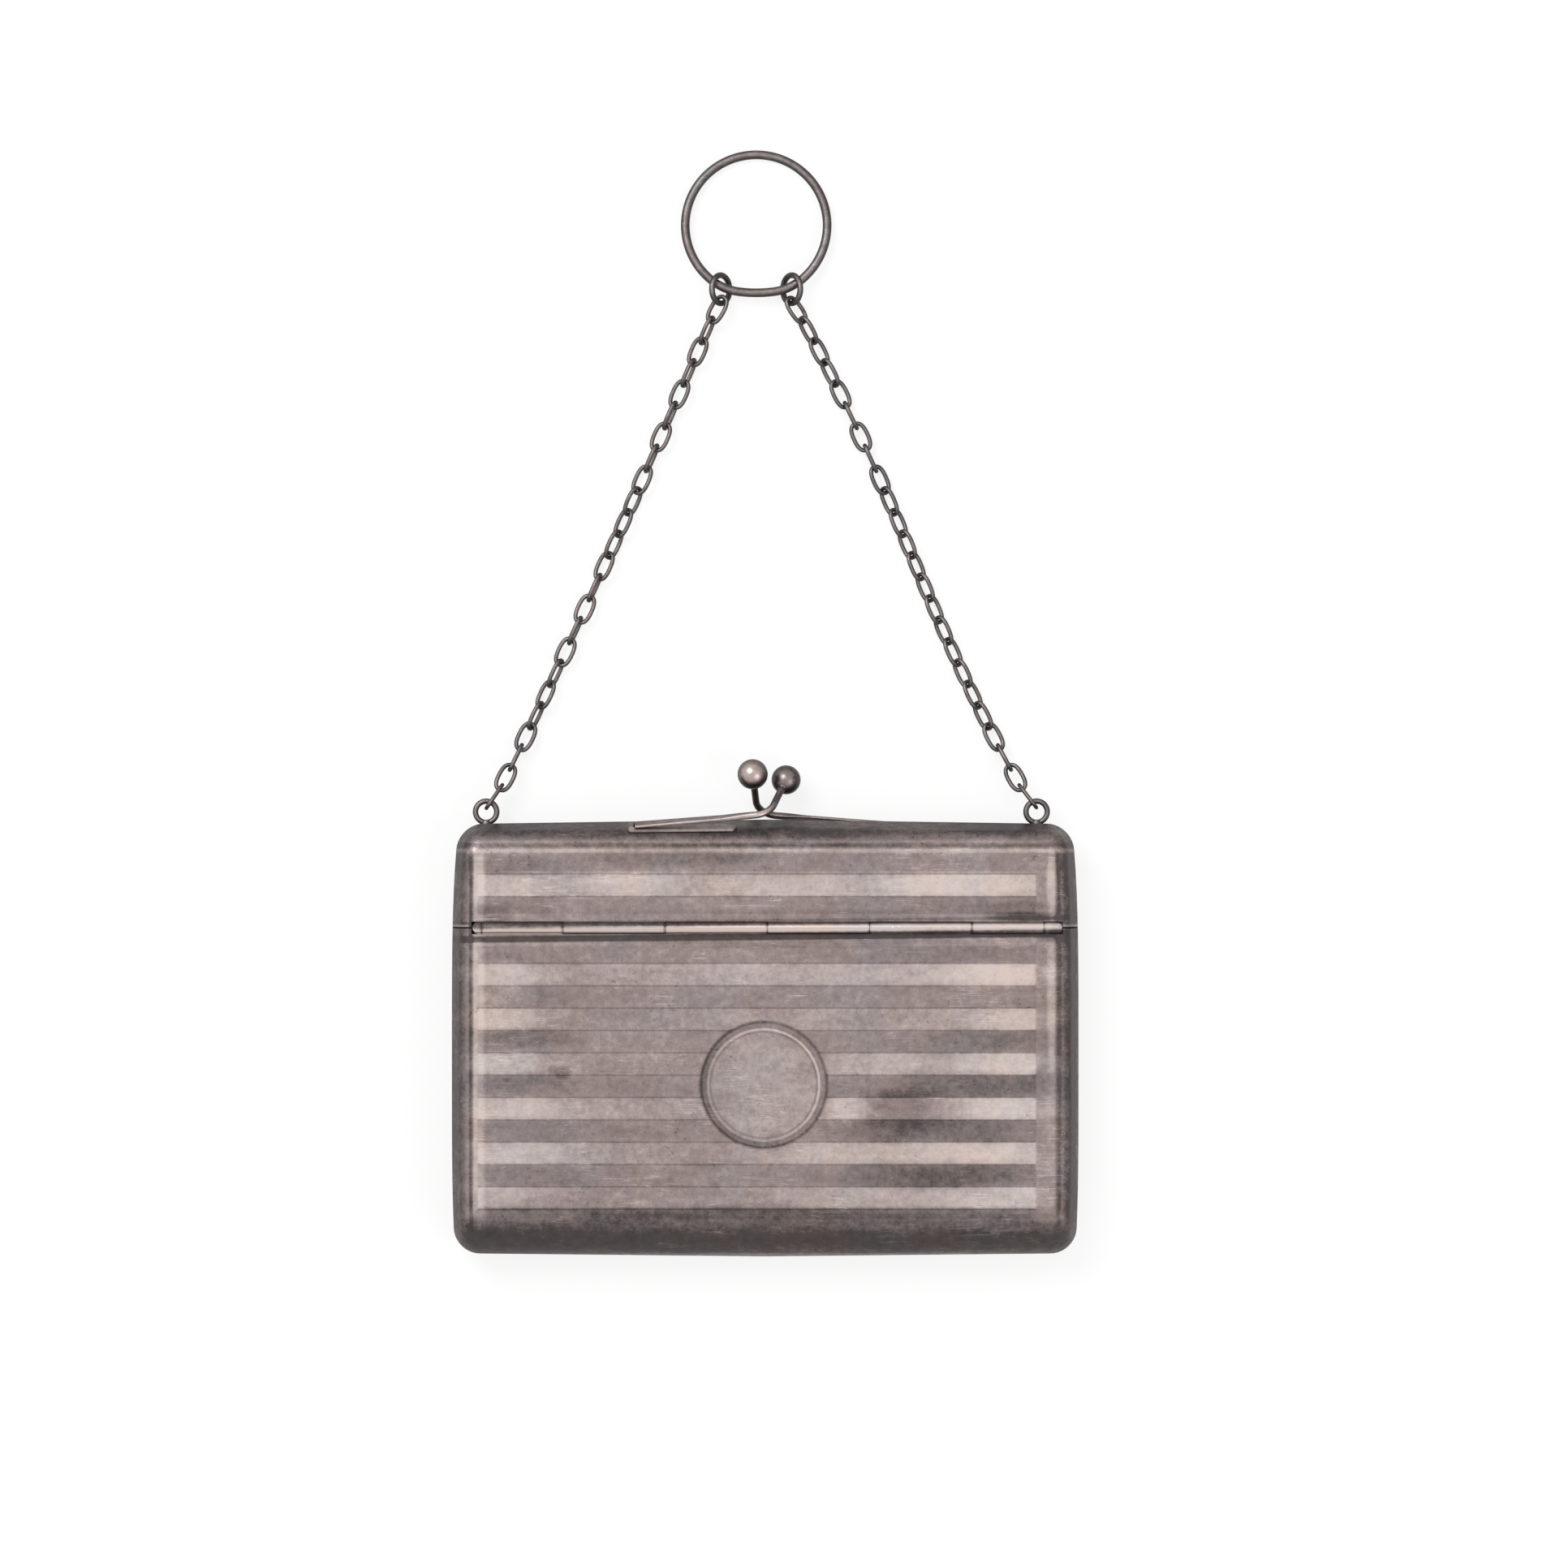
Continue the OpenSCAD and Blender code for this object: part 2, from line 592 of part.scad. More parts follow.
jump_z = jump_r * sin(jump_turn) + jump_wire / 2 + floor_clearance;
run_z = link_w / 2 + floor_clearance;
hook_z = [for (k = [0 : link_count]) lookup(k, [[0, eyelet_z], [1, eyelet_z - first_drop],
    [2, eyelet_z - second_drop], [3, eyelet_z - third_drop], [4, run_z],
    [link_count - 3, run_z], [link_count - 1, run_z + last_lift], [link_count, jump_z]])];
hook_angle = 24;
left_from = left_eyelet_x + eyelet_r * sin(hook_angle);
left_to = ring_x - jump_x;
right_from = right_eyelet_x - eyelet_r * sin(hook_angle);
right_to = ring_x + jump_x;
function left_x(k) =
    left_from + (left_to - left_from) * k / link_count + left_bow * sin(180 * k / link_count);
function right_x(k) =
    right_from + (right_to - right_from) * k / link_count - right_wave * sin(360 * k / link_count);

// Steps up from one hook to the next, common to both sides
hook_steps = [0, for (k = [1 : link_count])
    let (dx = (abs(left_x(k) - left_x(k - 1)) + abs(right_x(k) - right_x(k - 1))) / 2,
        dz = hook_z[k] - hook_z[k - 1])
    sqrt(pow(span(k), 2) - dx * dx - dz * dz)];
function sum_to(list, k) = k < 0 ? 0 : list[k] + sum_to(list, k - 1);
hook_y = [for (k = [0 : link_count])
    eyelet_y(left_eyelet_x) + eyelet_r * cos(hook_angle) + sum_to(hook_steps, k)];

function hook(side, k) = [side < 0 ? left_x(k) : right_x(k), hook_y[k], hook_z[k]];

// Turn of each link about its own length; even links lie flat and odd ones stand on edge, and the
// runs are twisted a little on each side, as a chain falls
left_twist = [[1, 0], [4, 0], [5, 25], [6, 40], [7, 25], [8, 10], [11, 10], [12, 30], [13, 42],
    [15, 45], [16, 25], [17, 12], [link_count, 25]];
right_twist = [[1, 0], [3, 0], [4, 25], [5, 45], [15, 45], [16, 25], [17, 0], [19, 0], [20, 25],
    [21, 38], [link_count, 38]];
function link_turn(side, k) = 90 * (k % 2) + (side < 0 ? -lookup(k, left_twist) : lookup(k, right_twist));

// A long link of round wire, along Y and lying flat
module link() {
    side = (link_w - link_wire) / 2;
    end = end_a - side;
    for (up = [0, 180]) rotate([0, 0, up]) {
        translate([0, end, 0]) rotate_extrude(angle = 180) translate([side, 0]) circle(d = link_wire);
        translate([side, end, 0]) rotate([90, 0, 0]) cylinder(d = link_wire, h = 2 * end);
    }
}

// A link from hook k - 1 to hook k; the first and the last hook on to thicker wires
module chain_link(side, k) {
    from = hook(side, k - 1);
    to = hook(side, k);
    dir = unit(to - from);
    middle = k == 1 ? to - (end_a - hooked / 2) * dir
        : k == link_count ? from + (end_a - hooked / 2) * dir : (from + to) / 2;
    translate(middle) rotate([asin(dir[2]), 0, -atan2(dir[0], dir[1])])
        rotate([0, link_turn(side, k), 0]) link();
}

// One row is the left link and the right link
module chain_row(k) color(k % 2 == 0 ? "#8e8381" : "#857a78") {
    chain_link(-1, k);
    chain_link(1, k);
}

module jump_rings() color("#8a7f7c")
    for (side = [-1, 1])
        translate([ring_x + side * jump_x, hook_y[link_count] + jump_r, jump_z])
            rotate([0, -side * jump_turn, 0])
            rotate_extrude() translate([jump_r, 0]) circle(d = jump_wire);

// The finger ring is a circle that is flattened between the jump rings, of four arcs
ring_r = (ring_d - ring_wire) / 2;
flat_rise = flat_r - ring_r + ring_flat;
corner_at = (2 * (flat_r - ring_r) * ring_flat + ring_flat * ring_flat)
    / (2 * (flat_r - ring_r - flat_rise * cos(flat_angle)));
corner_wire_r = ring_r - corner_at;
flat_half = atan2(corner_at * sin(flat_angle), flat_rise + corner_at * cos(flat_angle));
jump_on_ring = asin((jump_x - corner_at * sin(flat_angle)) / corner_wire_r);
// from the line through the jump rings to the middle of the finger ring
ring_up = corner_at * cos(flat_angle) + corner_wire_r * cos(jump_on_ring);
ring_tilt = asin((jump_z - ring_wire / 2 - floor_clearance) / (ring_up + ring_r));

module wire_arc(centre, r, d, from, to) {
    translate(centre) rotate([0, 0, from]) rotate_extrude(angle = to - from)
        translate([r, 0]) circle(d = d);
}

module finger_ring() color("#a19694")
    translate([ring_x, hook_y[link_count] + jump_r + jump_lift, jump_z]) rotate([-ring_tilt, 0, 0])
        translate([0, ring_up, 0]) {
            turn = lap / corner_wire_r * 180 / PI;
            wire_arc([0, 0, 0], ring_r, ring_wire, flat_angle - 90, 270 - flat_angle);
            wire_arc([0, flat_rise, 0], flat_r, ring_wire, -90 - flat_half, flat_half - 90);
            for (side = [-1, 1])
                wire_arc([side * corner_at * sin(flat_angle), -corner_at * cos(flat_angle), 0],
                    corner_wire_r, ring_wire - 2 * lap_step,
                    (side < 0 ? -90 - flat_angle : flat_half - 90) - turn,
                    (side < 0 ? -90 - flat_half : flat_angle - 90) + turn);
        }

back_shell();
front_shell();
lid_flap();
inner_lip();
body_knuckles();
lid_knuckles();
hinge_pin();
hinge_end_caps();
rear_clasp_base();
rear_clasp_arm();
rear_ball();
front_clasp_base();
front_clasp_arm();
front_ball();
left_eyelet();
right_eyelet();
for (k = [1 : link_count]) chain_row(k);
jump_rings();
finger_ring();
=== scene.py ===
# %% [markdown]
# # A silver card case on a finger-ring chain
# The imported CAD model is the frame: its nodes sit where the real pieces sit, and they move on named
# bodies. This script gives that frame its looks. The pressed shells, the spring arms, the chain and
# the rings get finer meshes, and every piece gets a silver of its own, because the object is all one
# metal and only wear, tarnish and tooling tell its pieces apart. Those silvers also carry painted light
# and shade: painted highlights, shaded flanks and rolls, and painted shadows.

# %% Load the frame
from math import asin, atan2, copysign, cos, pi, radians, sin, sqrt, tan
import bpy
import bmesh
from mathutils import Vector, Matrix


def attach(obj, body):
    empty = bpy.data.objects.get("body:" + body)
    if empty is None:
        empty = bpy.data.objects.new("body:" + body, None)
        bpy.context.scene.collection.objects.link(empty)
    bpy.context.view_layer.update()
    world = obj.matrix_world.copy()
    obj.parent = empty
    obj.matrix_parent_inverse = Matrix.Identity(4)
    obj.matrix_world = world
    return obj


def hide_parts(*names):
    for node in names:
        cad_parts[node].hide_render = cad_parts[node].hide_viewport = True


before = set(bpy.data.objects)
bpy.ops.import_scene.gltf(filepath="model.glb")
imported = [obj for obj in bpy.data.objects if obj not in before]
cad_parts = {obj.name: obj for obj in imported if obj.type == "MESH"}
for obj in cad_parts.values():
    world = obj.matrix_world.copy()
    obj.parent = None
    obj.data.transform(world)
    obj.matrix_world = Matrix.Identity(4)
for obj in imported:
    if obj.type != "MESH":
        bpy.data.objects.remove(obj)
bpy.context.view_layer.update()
MM = 0.001

# %% [markdown]
# ## Camera, light and table
# The picture was taken from straight above with a long lens, so the camera looks down -Z from
# two metres. Silver shows what is round it. A plain white room gives it an even brightness, a big
# soft lamp from the upper left gives the rolled edges their gloss, and a weaker one fills in.

# %% Camera
FRAME_MM = 225.2  # width of the picture at the middle of the case's depth
VIEW_MM = (2.7, 36.6)  # the middle of the picture
CAMERA_MM, MIDDLE_Z, SENSOR = 2000, 5.5, 36


def new_object(name, data):
    """An object in the scene that shows the data."""
    made = bpy.data.objects.new(name, data)
    bpy.context.scene.collection.objects.link(made)
    return made


camera = new_object("camera", bpy.data.cameras.new("camera"))
camera.location = (VIEW_MM[0] * MM, VIEW_MM[1] * MM, (CAMERA_MM + MIDDLE_Z) * MM)
camera.data.sensor_width = SENSOR
camera.data.lens = SENSOR * CAMERA_MM / FRAME_MM
camera.data.clip_start = 0.05
camera.data.clip_end = 20
bpy.context.scene.camera = camera
bpy.context.scene.view_settings.view_transform = "Standard"
print("lens", round(camera.data.lens, 1), "mm")

# %% [markdown]
# Shader nodes are wired by hand in every material below. Short helpers keep that readable: they add a
# node and fill its sockets, do arithmetic, turn a number into a mask or a soft line, and mix colours.

# %% Node helpers
def bare_tree(owner):
    """The node tree of a world or a material, emptied."""
    owner.use_nodes = True
    owner.node_tree.nodes.clear()
    return owner.node_tree


def is_socket(given):
    """Whether a value is a socket and not a plain number or colour."""
    return isinstance(given, bpy.types.NodeSocket)


def add(where, kind, settings=None, **values):
    """Adds a node to a tree, or to the tree of a socket. Its inputs are given by name, with _ for a
    space, or by number, as in i0, and are wired or set. A node stands for its first output."""
    node = where.id_data.nodes.new(kind)
    for key, value in (settings or {}).items():
        setattr(node, key, value)
    for key, value in values.items():
        numbered = key[0] == "i" and key[1:].isdigit()
        socket = node.inputs[int(key[1:]) if numbered else key.replace("_", " ")]
        if isinstance(value, bpy.types.Node):
            value = value.outputs[0]
        if is_socket(value):
            where.id_data.links.new(value, socket)
        else:
            socket.default_value = value
    return node


def calc(operation, a, b=0, clamp=False):
    """One Math node."""
    settings = {"operation": operation, "use_clamp": clamp}
    return add(a if is_socket(a) else b, "ShaderNodeMath", settings, i0=a, i1=b).outputs[0]


def plus(first, *others):
    """The sum of several numbers."""
    for other in others:
        first = calc("ADD", first, other)
    return first


def times(first, *others):
    """The product of several numbers."""
    for other in others:
        first = calc("MULTIPLY", first, other)
    return first


def minus(a, b):
    """One number less another."""
    return calc("SUBTRACT", a, b)


def weigh(tone, mask, amount):
    """The tone with an amount of a mask added."""
    return plus(tone, times(mask, amount))


def squares(a, b):
    """The sum of two squares."""
    return weigh(times(a, a), b, b)


def ramp(value, low, high, to_low=0, to_high=1, smooth=True):
    """Maps a number from low..high to to_low..to_high, clamped."""
    settings = {"interpolation_type": "SMOOTHSTEP" if smooth else "LINEAR"}
    return add(value, "ShaderNodeMapRange", settings, Value=value, From_Min=low, From_Max=high,
               To_Min=to_low, To_Max=to_high).outputs["Result"]


def off_by(value, middle):
    """How far a number is from a middle."""
    return calc("ABSOLUTE", minus(value, middle))


def stripe(value, middle, core, edge, amount):
    """A soft line: the amount up to core from the middle, and nothing past edge."""
    return ramp(off_by(value, middle), core, edge, amount, 0)


def within(value, rise, fall):
    """A mask between two soft edges, each given by where it starts and ends."""
    return times(ramp(value, *rise), ramp(value, *fall, 1, 0))


def blend_colour(factor, a, b, kind="MIX"):
    """Mixes two colours."""
    settings = {"data_type": "RGBA", "blend_type": kind}
    where = factor if is_socket(factor) else a
    return add(where, "ShaderNodeMix", settings, i0=factor, i6=a, i7=b).outputs[2]


def noise(vector, scale, detail=3, rough=0.5):
    """Noise in object space; scale counts its blobs per metre."""
    return add(vector, "ShaderNodeTexNoise", Vector=vector, Scale=scale, Detail=detail,
               Roughness=rough).outputs["Fac"]


print("helpers ready")

# %% World and lamps
ROOM_LIGHT, LAMP_AIM, WHITE = 0.55, Vector((0, 0.03, 0)), (1, 1, 1, 1)
# name, place in metres, width in metres, watts
LAMPS = (("key", (-0.35, 0.45, 0.75), 0.5, 3), ("fill", (0.55, -0.25, 0.7), 0.6, 1.5))


def seen_by_eye(tree):
    """1 for rays from the camera, a mirror or glass, and 0 for the rays that only carry light."""
    path = tree.nodes.new("ShaderNodeLightPath").outputs
    bounced = calc("MAXIMUM", path["Is Glossy Ray"], path["Is Transmission Ray"])
    return calc("MAXIMUM", path["Is Camera Ray"], bounced)


world = bpy.data.worlds.new("white room")
bpy.context.scene.world = world
wt = bare_tree(world)
room = add(wt, "ShaderNodeBackground", Color=(1, 0.99, 0.98, 1), Strength=ROOM_LIGHT)
white = add(wt, "ShaderNodeBackground", Color=WHITE, Strength=1)
both = add(wt, "ShaderNodeMixShader", i0=seen_by_eye(wt), i1=room, i2=white)
add(wt, "ShaderNodeOutputWorld", Surface=both)

for name, place, size, power in LAMPS:
    lamp = bpy.data.lights.new(name, "AREA")
    lamp.shape = "DISK"
    lamp.size = size
    lamp.energy = power
    holder = new_object(name, lamp)
    holder.location = place
    holder.rotation_euler = (LAMP_AIM - Vector(place)).to_track_quat("-Z", "Y").to_euler()
print("lamps", len(bpy.data.lights))

# %% Table
TABLE_HALF, TABLE_Z = 2, -0.00005  # metres
PAPER_GLOW, GLOW_SHARE = 1.1, 0.72
table_mesh = bpy.data.meshes.new("table")
corners = [(a * TABLE_HALF, b * TABLE_HALF, TABLE_Z) for a, b in ((-1, -1), (1, -1), (1, 1), (-1, 1))]
table_mesh.from_pydata(corners, [], [(0, 1, 2, 3)])
table = new_object("table", table_mesh)
paper = bpy.data.materials.new("white paper")
pt = bare_tree(paper)
matt = add(pt, "ShaderNodeBsdfDiffuse", Color=(0.93, 0.93, 0.93, 1))
glow = add(pt, "ShaderNodeEmission", Color=WHITE, Strength=PAPER_GLOW)
both = add(pt, "ShaderNodeMixShader", i0=times(seen_by_eye(pt), GLOW_SHARE), i1=matt, i2=glow)
add(pt, "ShaderNodeOutputMaterial", Surface=both)
table_mesh.materials.append(paper)
print("table ready")

# %% [markdown]
# ## The metal
# Old silver is a bright metal under a thin grey-brown film of tarnish. Hands rub the film off the
# high places and leave it in the corners, and small things scratch and pit it. So each silver here
# is one metal whose colour runs from tarnish to bright by one number, its tone: a base, slow clouds,
# mottle, fine grain, specks, pits, and hair scratches at two angles. A finish sets the amounts, and
# may add marks of its own. Many of those marks are painted light and shade, not tarnish: the lighter
# tops and darker flanks of wires and beads, and the light and shade of the rolled edges.

# %% Silver
TARNISH = (0.045, 0.039, 0.038, 1)
GREY = (0.262, 0.216, 0.209, 1)
BRIGHT = (0.59, 0.51, 0.48, 1)
COOL, WARM = (0.98, 1, 1.02, 1), (1.03, 0.985, 0.955, 1)
# each noise: blobs per metre, detail, roughness
CLOUD, MOTTLE, SPECKLE = (60, 4, 0.55), (420, 4, 0.62), (1500, 4, 0.65)
FINE, SMEAR, PITS = (4200, 2, 0.5), (700, 5, 0.6), (1150, 2, 0.6)
SCRATCHES = ((24, 0.31, 0.18), (-57, 1.73, 0.15))  # angle, seed, how light
CLOUD_SHARE, MOTTLE_SHARE, FILM = 0.55, 0.45, (0.34, 0.66)
GRIT = (0.42, 0.14, 0.36)  # how much speckle, fine and smear change the tone
PIT_CUT, PIT_SHADE, DARKEST = (0.655, 0.69), 0.16, 0.15
BUMP, BUMP_DEPTH = 0.22, 0.00012


def scratches(place, angle, seed, amount):
    """Thin light lines at one angle: a noise pulled out along the line, cut to its middle value."""
    turned = add(place, "ShaderNodeMapping", Vector=place, Rotation=(0, 0, radians(angle)),
                 Location=(seed, seed * 0.7, 0), Scale=(0.045, 1, 1))
    lines = noise(turned, 1500, 1)
    gaps = noise(place, 160 + seed, 1)
    return times(stripe(lines, 0.5, 0.004, 0.014, amount), ramp(gaps, 0.5, 0.62))


def silver(name, base, patchy, gloss, grain=1, extra=None, drawn=(1, 1, 1), cast=WHITE):
    """A tarnished silver. base is its tone, patchy how much the film comes and goes, drawn stretches
    the clouds, extra(place, tone) may change the tone, and cast tints the metal."""
    material = bpy.data.materials.new(name)
    tree = bare_tree(material)
    place = add(tree, "ShaderNodeTexCoord").outputs["Object"]
    along = add(tree, "ShaderNodeMapping", Vector=place, Scale=drawn)
    cloud, mottle = (noise(along, *kind) for kind in (CLOUD, MOTTLE))
    speckle, fine, smear, pitted = (noise(place, *kind) for kind in (SPECKLE, FINE, SMEAR, PITS))
    film = weigh(times(cloud, CLOUD_SHARE), mottle, MOTTLE_SHARE)
    tone = plus(base, ramp(film, *FILM, -0.5 * patchy, 0.5 * patchy, smooth=False))
    if extra:
        tone = extra(place, tone)
    for grit, amount in zip((speckle, fine, smear), GRIT):
        tone = weigh(tone, minus(grit, 0.5), amount * grain)
    for angle, seed, amount in SCRATCHES:
        tone = plus(tone, scratches(place, angle, seed, amount * grain))
    spread = ramp(noise(place, 130), 0.44, 0.6)
    pits = times(ramp(pitted, *PIT_CUT), spread)
    tone = calc("SUBTRACT", tone, times(pits, PIT_SHADE), clamp=True)
    tone = calc("MAXIMUM", tone, times(smear, DARKEST))
    colour = blend_colour(ramp(tone, 0, 0.5, smooth=False), TARNISH, GREY)
    colour = blend_colour(ramp(tone, 0.5, 1, smooth=False), colour, BRIGHT)
    blush = blend_colour(ramp(noise(place, 95, 2), 0.35, 0.65), COOL, WARM)
    for tint in (blush, cast):
        colour = blend_colour(1, colour, tint, "MULTIPLY")
    rough = ramp(tone, 0, 1, gloss + 0.16, gloss - 0.04, smooth=False)
    relief = weigh(weigh(times(mottle, 0.6), fine, 0.25), pits, -0.8)
    bump = add(tree, "ShaderNodeBump", Strength=BUMP * grain, Distance=BUMP_DEPTH, Height=relief)
    bsdf = add(tree, "ShaderNodeBsdfPrincipled", Base_Color=colour, Metallic=1, Roughness=rough,
               Normal=bump)
    add(tree, "ShaderNodeOutputMaterial", Surface=bsdf)
    return material


def millimetres(place):
    """X, Y and Z of the point in millimetres."""
    parts = add(place, "ShaderNodeSeparateXYZ", Vector=place).outputs
    return [times(parts[k], 1 / MM) for k in range(3)]


def painted_top_light(dark, light, lean=(-0.15, 0.15, 1), start=0.7):
    """Painted light for wire and beads: lighter where the surface faces the lean, up and out of the front,
    and darker on the flanks, for the light and the dark that a round surface reflects.
    """
    def change(place, tone):
        facing = add(place, "ShaderNodeTexCoord").outputs["Normal"]
        turn = add(place, "ShaderNodeVectorMath", {"operation": "DOT_PRODUCT"},
                   i0=facing, i1=Vector(lean).normalized())
        return plus(tone, ramp(turn.outputs["Value"], start, 1, -dark, light))
    return change


print("silver ready")

# %% [markdown]
# ## The engraved panel
# The front carries engine-turned bands: a lathe-like machine cuts very fine lines, and each second
# band is cut the other way, so it throws the light back differently. At this distance the lines
# themselves can't be told apart. So a band is a change of tone with a dark hairline at each edge, which
# is painted shade for the small step there, and the shells below are also cut a little deeper there.
# Its contrast comes and goes across the case, where hands have rubbed the lines away. The real hinge
# lies a little aslant. Here it is straight, and only the dirt and painted shadow beside it and the
# painted highlight on it slant.

# %% Bands, cartouche and stains
BAND_PITCH, BAND_WIDTH, LID_BAND_Y = 6.4, 3.2, 22.1
BAND_LEFT, BAND_RIGHT = -41.2, 38.8
CARTOUCHE = (-0.2, -6.5)
FIELD = ((-24.5, -24.3), (23.7, 23.9))  # the heights at which the bands begin and end
HINGE_MIDDLE, HINGE_CLEAR, CARTOUCHE_CLEAR = 15.7, (2.2, 2.4), (9, 9.2)
BAND_SOFT, BAND_END_SOFT, BAND_SHARE = 0.12, 0.15, 0.42
# a stripe: its middle, the half widths of its core and of its edge, how light (minus is dark)
# The hairline is painted shade at the small step on each edge of a band.
HAIRLINE = (BAND_WIDTH / 2, 0.05, 0.2, -0.15)
BED, BED_DARK, BED_LIT, MIDDLE = ((8.05, 8.3), (8.95, 9.15)), 0.29, 0.14, (7.2, 7.7, 0.08, 0)
LIT_FROM, LIT = (0.8, 0.6), (-6, 8, 0.4, 1.5)  # the cartouche is brightest at its upper right
RIM, ROUND_LINES = (7.95, 0.06, 0.26, 0.26), ((9.05, 0.08, 0.4, -0.24), (7.65, 0.06, 0.24, -0.1))
# Along the top: a painted highlight where the top roll starts, and painted shade a little further down it.
TOP_HIGHLIGHT_AND_SHADE = ((27.05, 0.12, 0.36, 0.16), (27.85, 0.12, 0.5, -0.26))
# Dark lines below and above the hinge barrel: dirt and painted shadow, slanting with the real hinge.
HINGE_SHADOW_AND_DIRT, HINGE_SLANT = ((14.72, 0.22, 0.62, -0.62), (17, 0.05, 0.4, -0.22)), 0.0095
# The slit: a painted highlight on its edge, where it reaches the ends of the case.
SLIT_HIGHLIGHT, SLIT_ENDS = (16.3, 0.08, 0.24, 0.34), (42.2, 42.8)
# Painted shade at the crease where a roll starts, and more of it down the roll.
ROLL_CREASE_SHADE, ROLL_SHADE = (0.06, 0.02, 0.07, -0.08), (0.05, 0.5, 0, -0.38)
ABOVE_BAND, ABOVE_SHADE = ((24, 24.2), (26.5, 26.7)), -0.08
# a step of painted light and shade where the panel turns into a roll: where it starts, where it is full, how
# light
BOTTOM_LIGHT_AND_SHADE = ((-23.7, -24.5, -0.3), (-25.8, -27.2, 0.1), (-28, -30.2, 0.1), (-30.5, -31, 0.24))
SIDE_LIGHT_AND_SHADE = ((-39.8, -40.7, 0.22), (-41.6, -42.1, -0.54), (-42.25, -42.6, 0.26),
              (41.3, 42, -0.38), (42.1, 42.5, 0.1), (42.9, 43.6, 0.08))
BESIDE, SIDE_FADE = ((-27.5, -24.2), (25.6, 28)), (5.8, 8.2)  # where the side steps are, in Y and Z
MITRE_Y, MITRE_LEAN, MITRE_AT = 24.7, 0.43, (41, 42.4)  # the slanting ends of the bottom steps
# Stains, and painted shadows: the spots along the hinge and on the top roll by the arms and the right eyelet
# are shadow.
# place across, place up, radius across, radius up, and strength, in millimetres
STAINS_AND_SHADOWS = (
    (-31, 5.6, 4.5, 1.2, 0.05), (39.6, 0, 0.9, 18, 0.09), (-28.9, -4.7, 1.1, 0.8, 0.26),
    (-30.4, -4.2, 0.6, 0.5, 0.16), (-34, -6.3, 8, 1.4, 0.14), (-33, 0.2, 7, 1.2, 0.14),
    (22.5, -13, 12, 1.9, 0.18), (24, -19.4, 11, 1.9, 0.22), (31, -6.3, 10, 1.7, 0.16),
    (20, -9, 4, 1.6, 0.14), (16, -16.4, 6, 1.6, 0.1), (30, -0.2, 8, 1.4, 0.08),
    (-30, -13, 14, 1.5, 0.06), (-30, -19.4, 14, 1.5, 0.08), (-14, 26, 12, 1.2, 0.16),
    (-35, 24.8, 6, 1.4, 0.1), (-39.5, 17.6, 2.5, 1.4, 0.22), (36, 18.4, 6, 1.2, 0.16),
    (8, 17.8, 30, 0.8, 0.1), (4, 14.2, 20, 1, 0.16), (-2, -24.2, 8, 0.7, 0.12),
    (2, -0.2, 4, 1.2, 0.05), (20.5, -9.8, 6.5, 2.6, 0.2), (37.5, 17.5, 4.5, 0.7, 0.3),
    (42, 14.7, 2.5, 0.8, 0.3), (-4, 28.7, 24, 0.8, 0.13), (-30, 30.2, 10, 1.4, 0.1),
    (34, 30.4, 6, 1.2, 0.12), (7, 29.4, 4, 0.8, 0.05))
# Polish, and painted highlights at the corners of the panel and along its side borders.
POLISH_AND_HIGHLIGHTS = (
    (-38, 9.3, 5, 1.7, 0.2), (-38, 3, 5, 1.6, 0.2), (-37.5, -3.3, 5, 1.6, 0.16),
    (-36.5, -9.8, 6, 1.6, 0.16), (-36, -16.4, 7, 1.6, 0.08), (-20, 22.3, 6, 1.6, 0.2),
    (27, 22.3, 10, 1.6, 0.22), (3, 22.3, 9, 1.6, 0.1), (-37, 22, 5, 1.6, 0.1),
    (33, 9.3, 8, 1.7, 0.3), (31, 6.2, 9, 1.3, 0.1), (36, 3, 6, 1.6, 0.16),
    (35, -3.3, 7, 1.6, 0.16), (16, -3.4, 5, 1.6, 0.1), (12, -9.8, 2.4, 1.6, 0.2),
    (9, -16.4, 5, 1.6, 0.1), (36, -9.8, 6, 1.6, 0.14), (24, -16.4, 12, 1.6, 0.14),
    (34, -22.6, 8, 1.6, 0.1), (0.5, -4, 4, 4, 0.06), (20, 16.4, 30, 0.8, 0.04),
    (-34, -25.3, 8, 0.7, 0.16), (-40.9, -24.9, 1.2, 0.7, 0.12), (40.2, -25.2, 2, 0.9, 0.24),
    (-40.9, 22.4, 0.7, 3, 0.14), (41, 22.2, 0.6, 4.4, 0.3), (41, 6, 0.6, 9, 0.16),
    (-37.5, 6.2, 4, 1.2, 0.16), (33, 18, 8, 0.9, 0.1))


def soft_spots(x, y, spots):
    """The sum of soft oval spots, each at its own place."""
    total = 0
    for sx, sy, rx, ry, strength in spots:
        dx = times(minus(x, sx), 1 / rx)
        dy = times(minus(y, sy), 1 / ry)
        total = plus(total, ramp(squares(dx, dy), 0, 2.2, strength, 0))
    return total


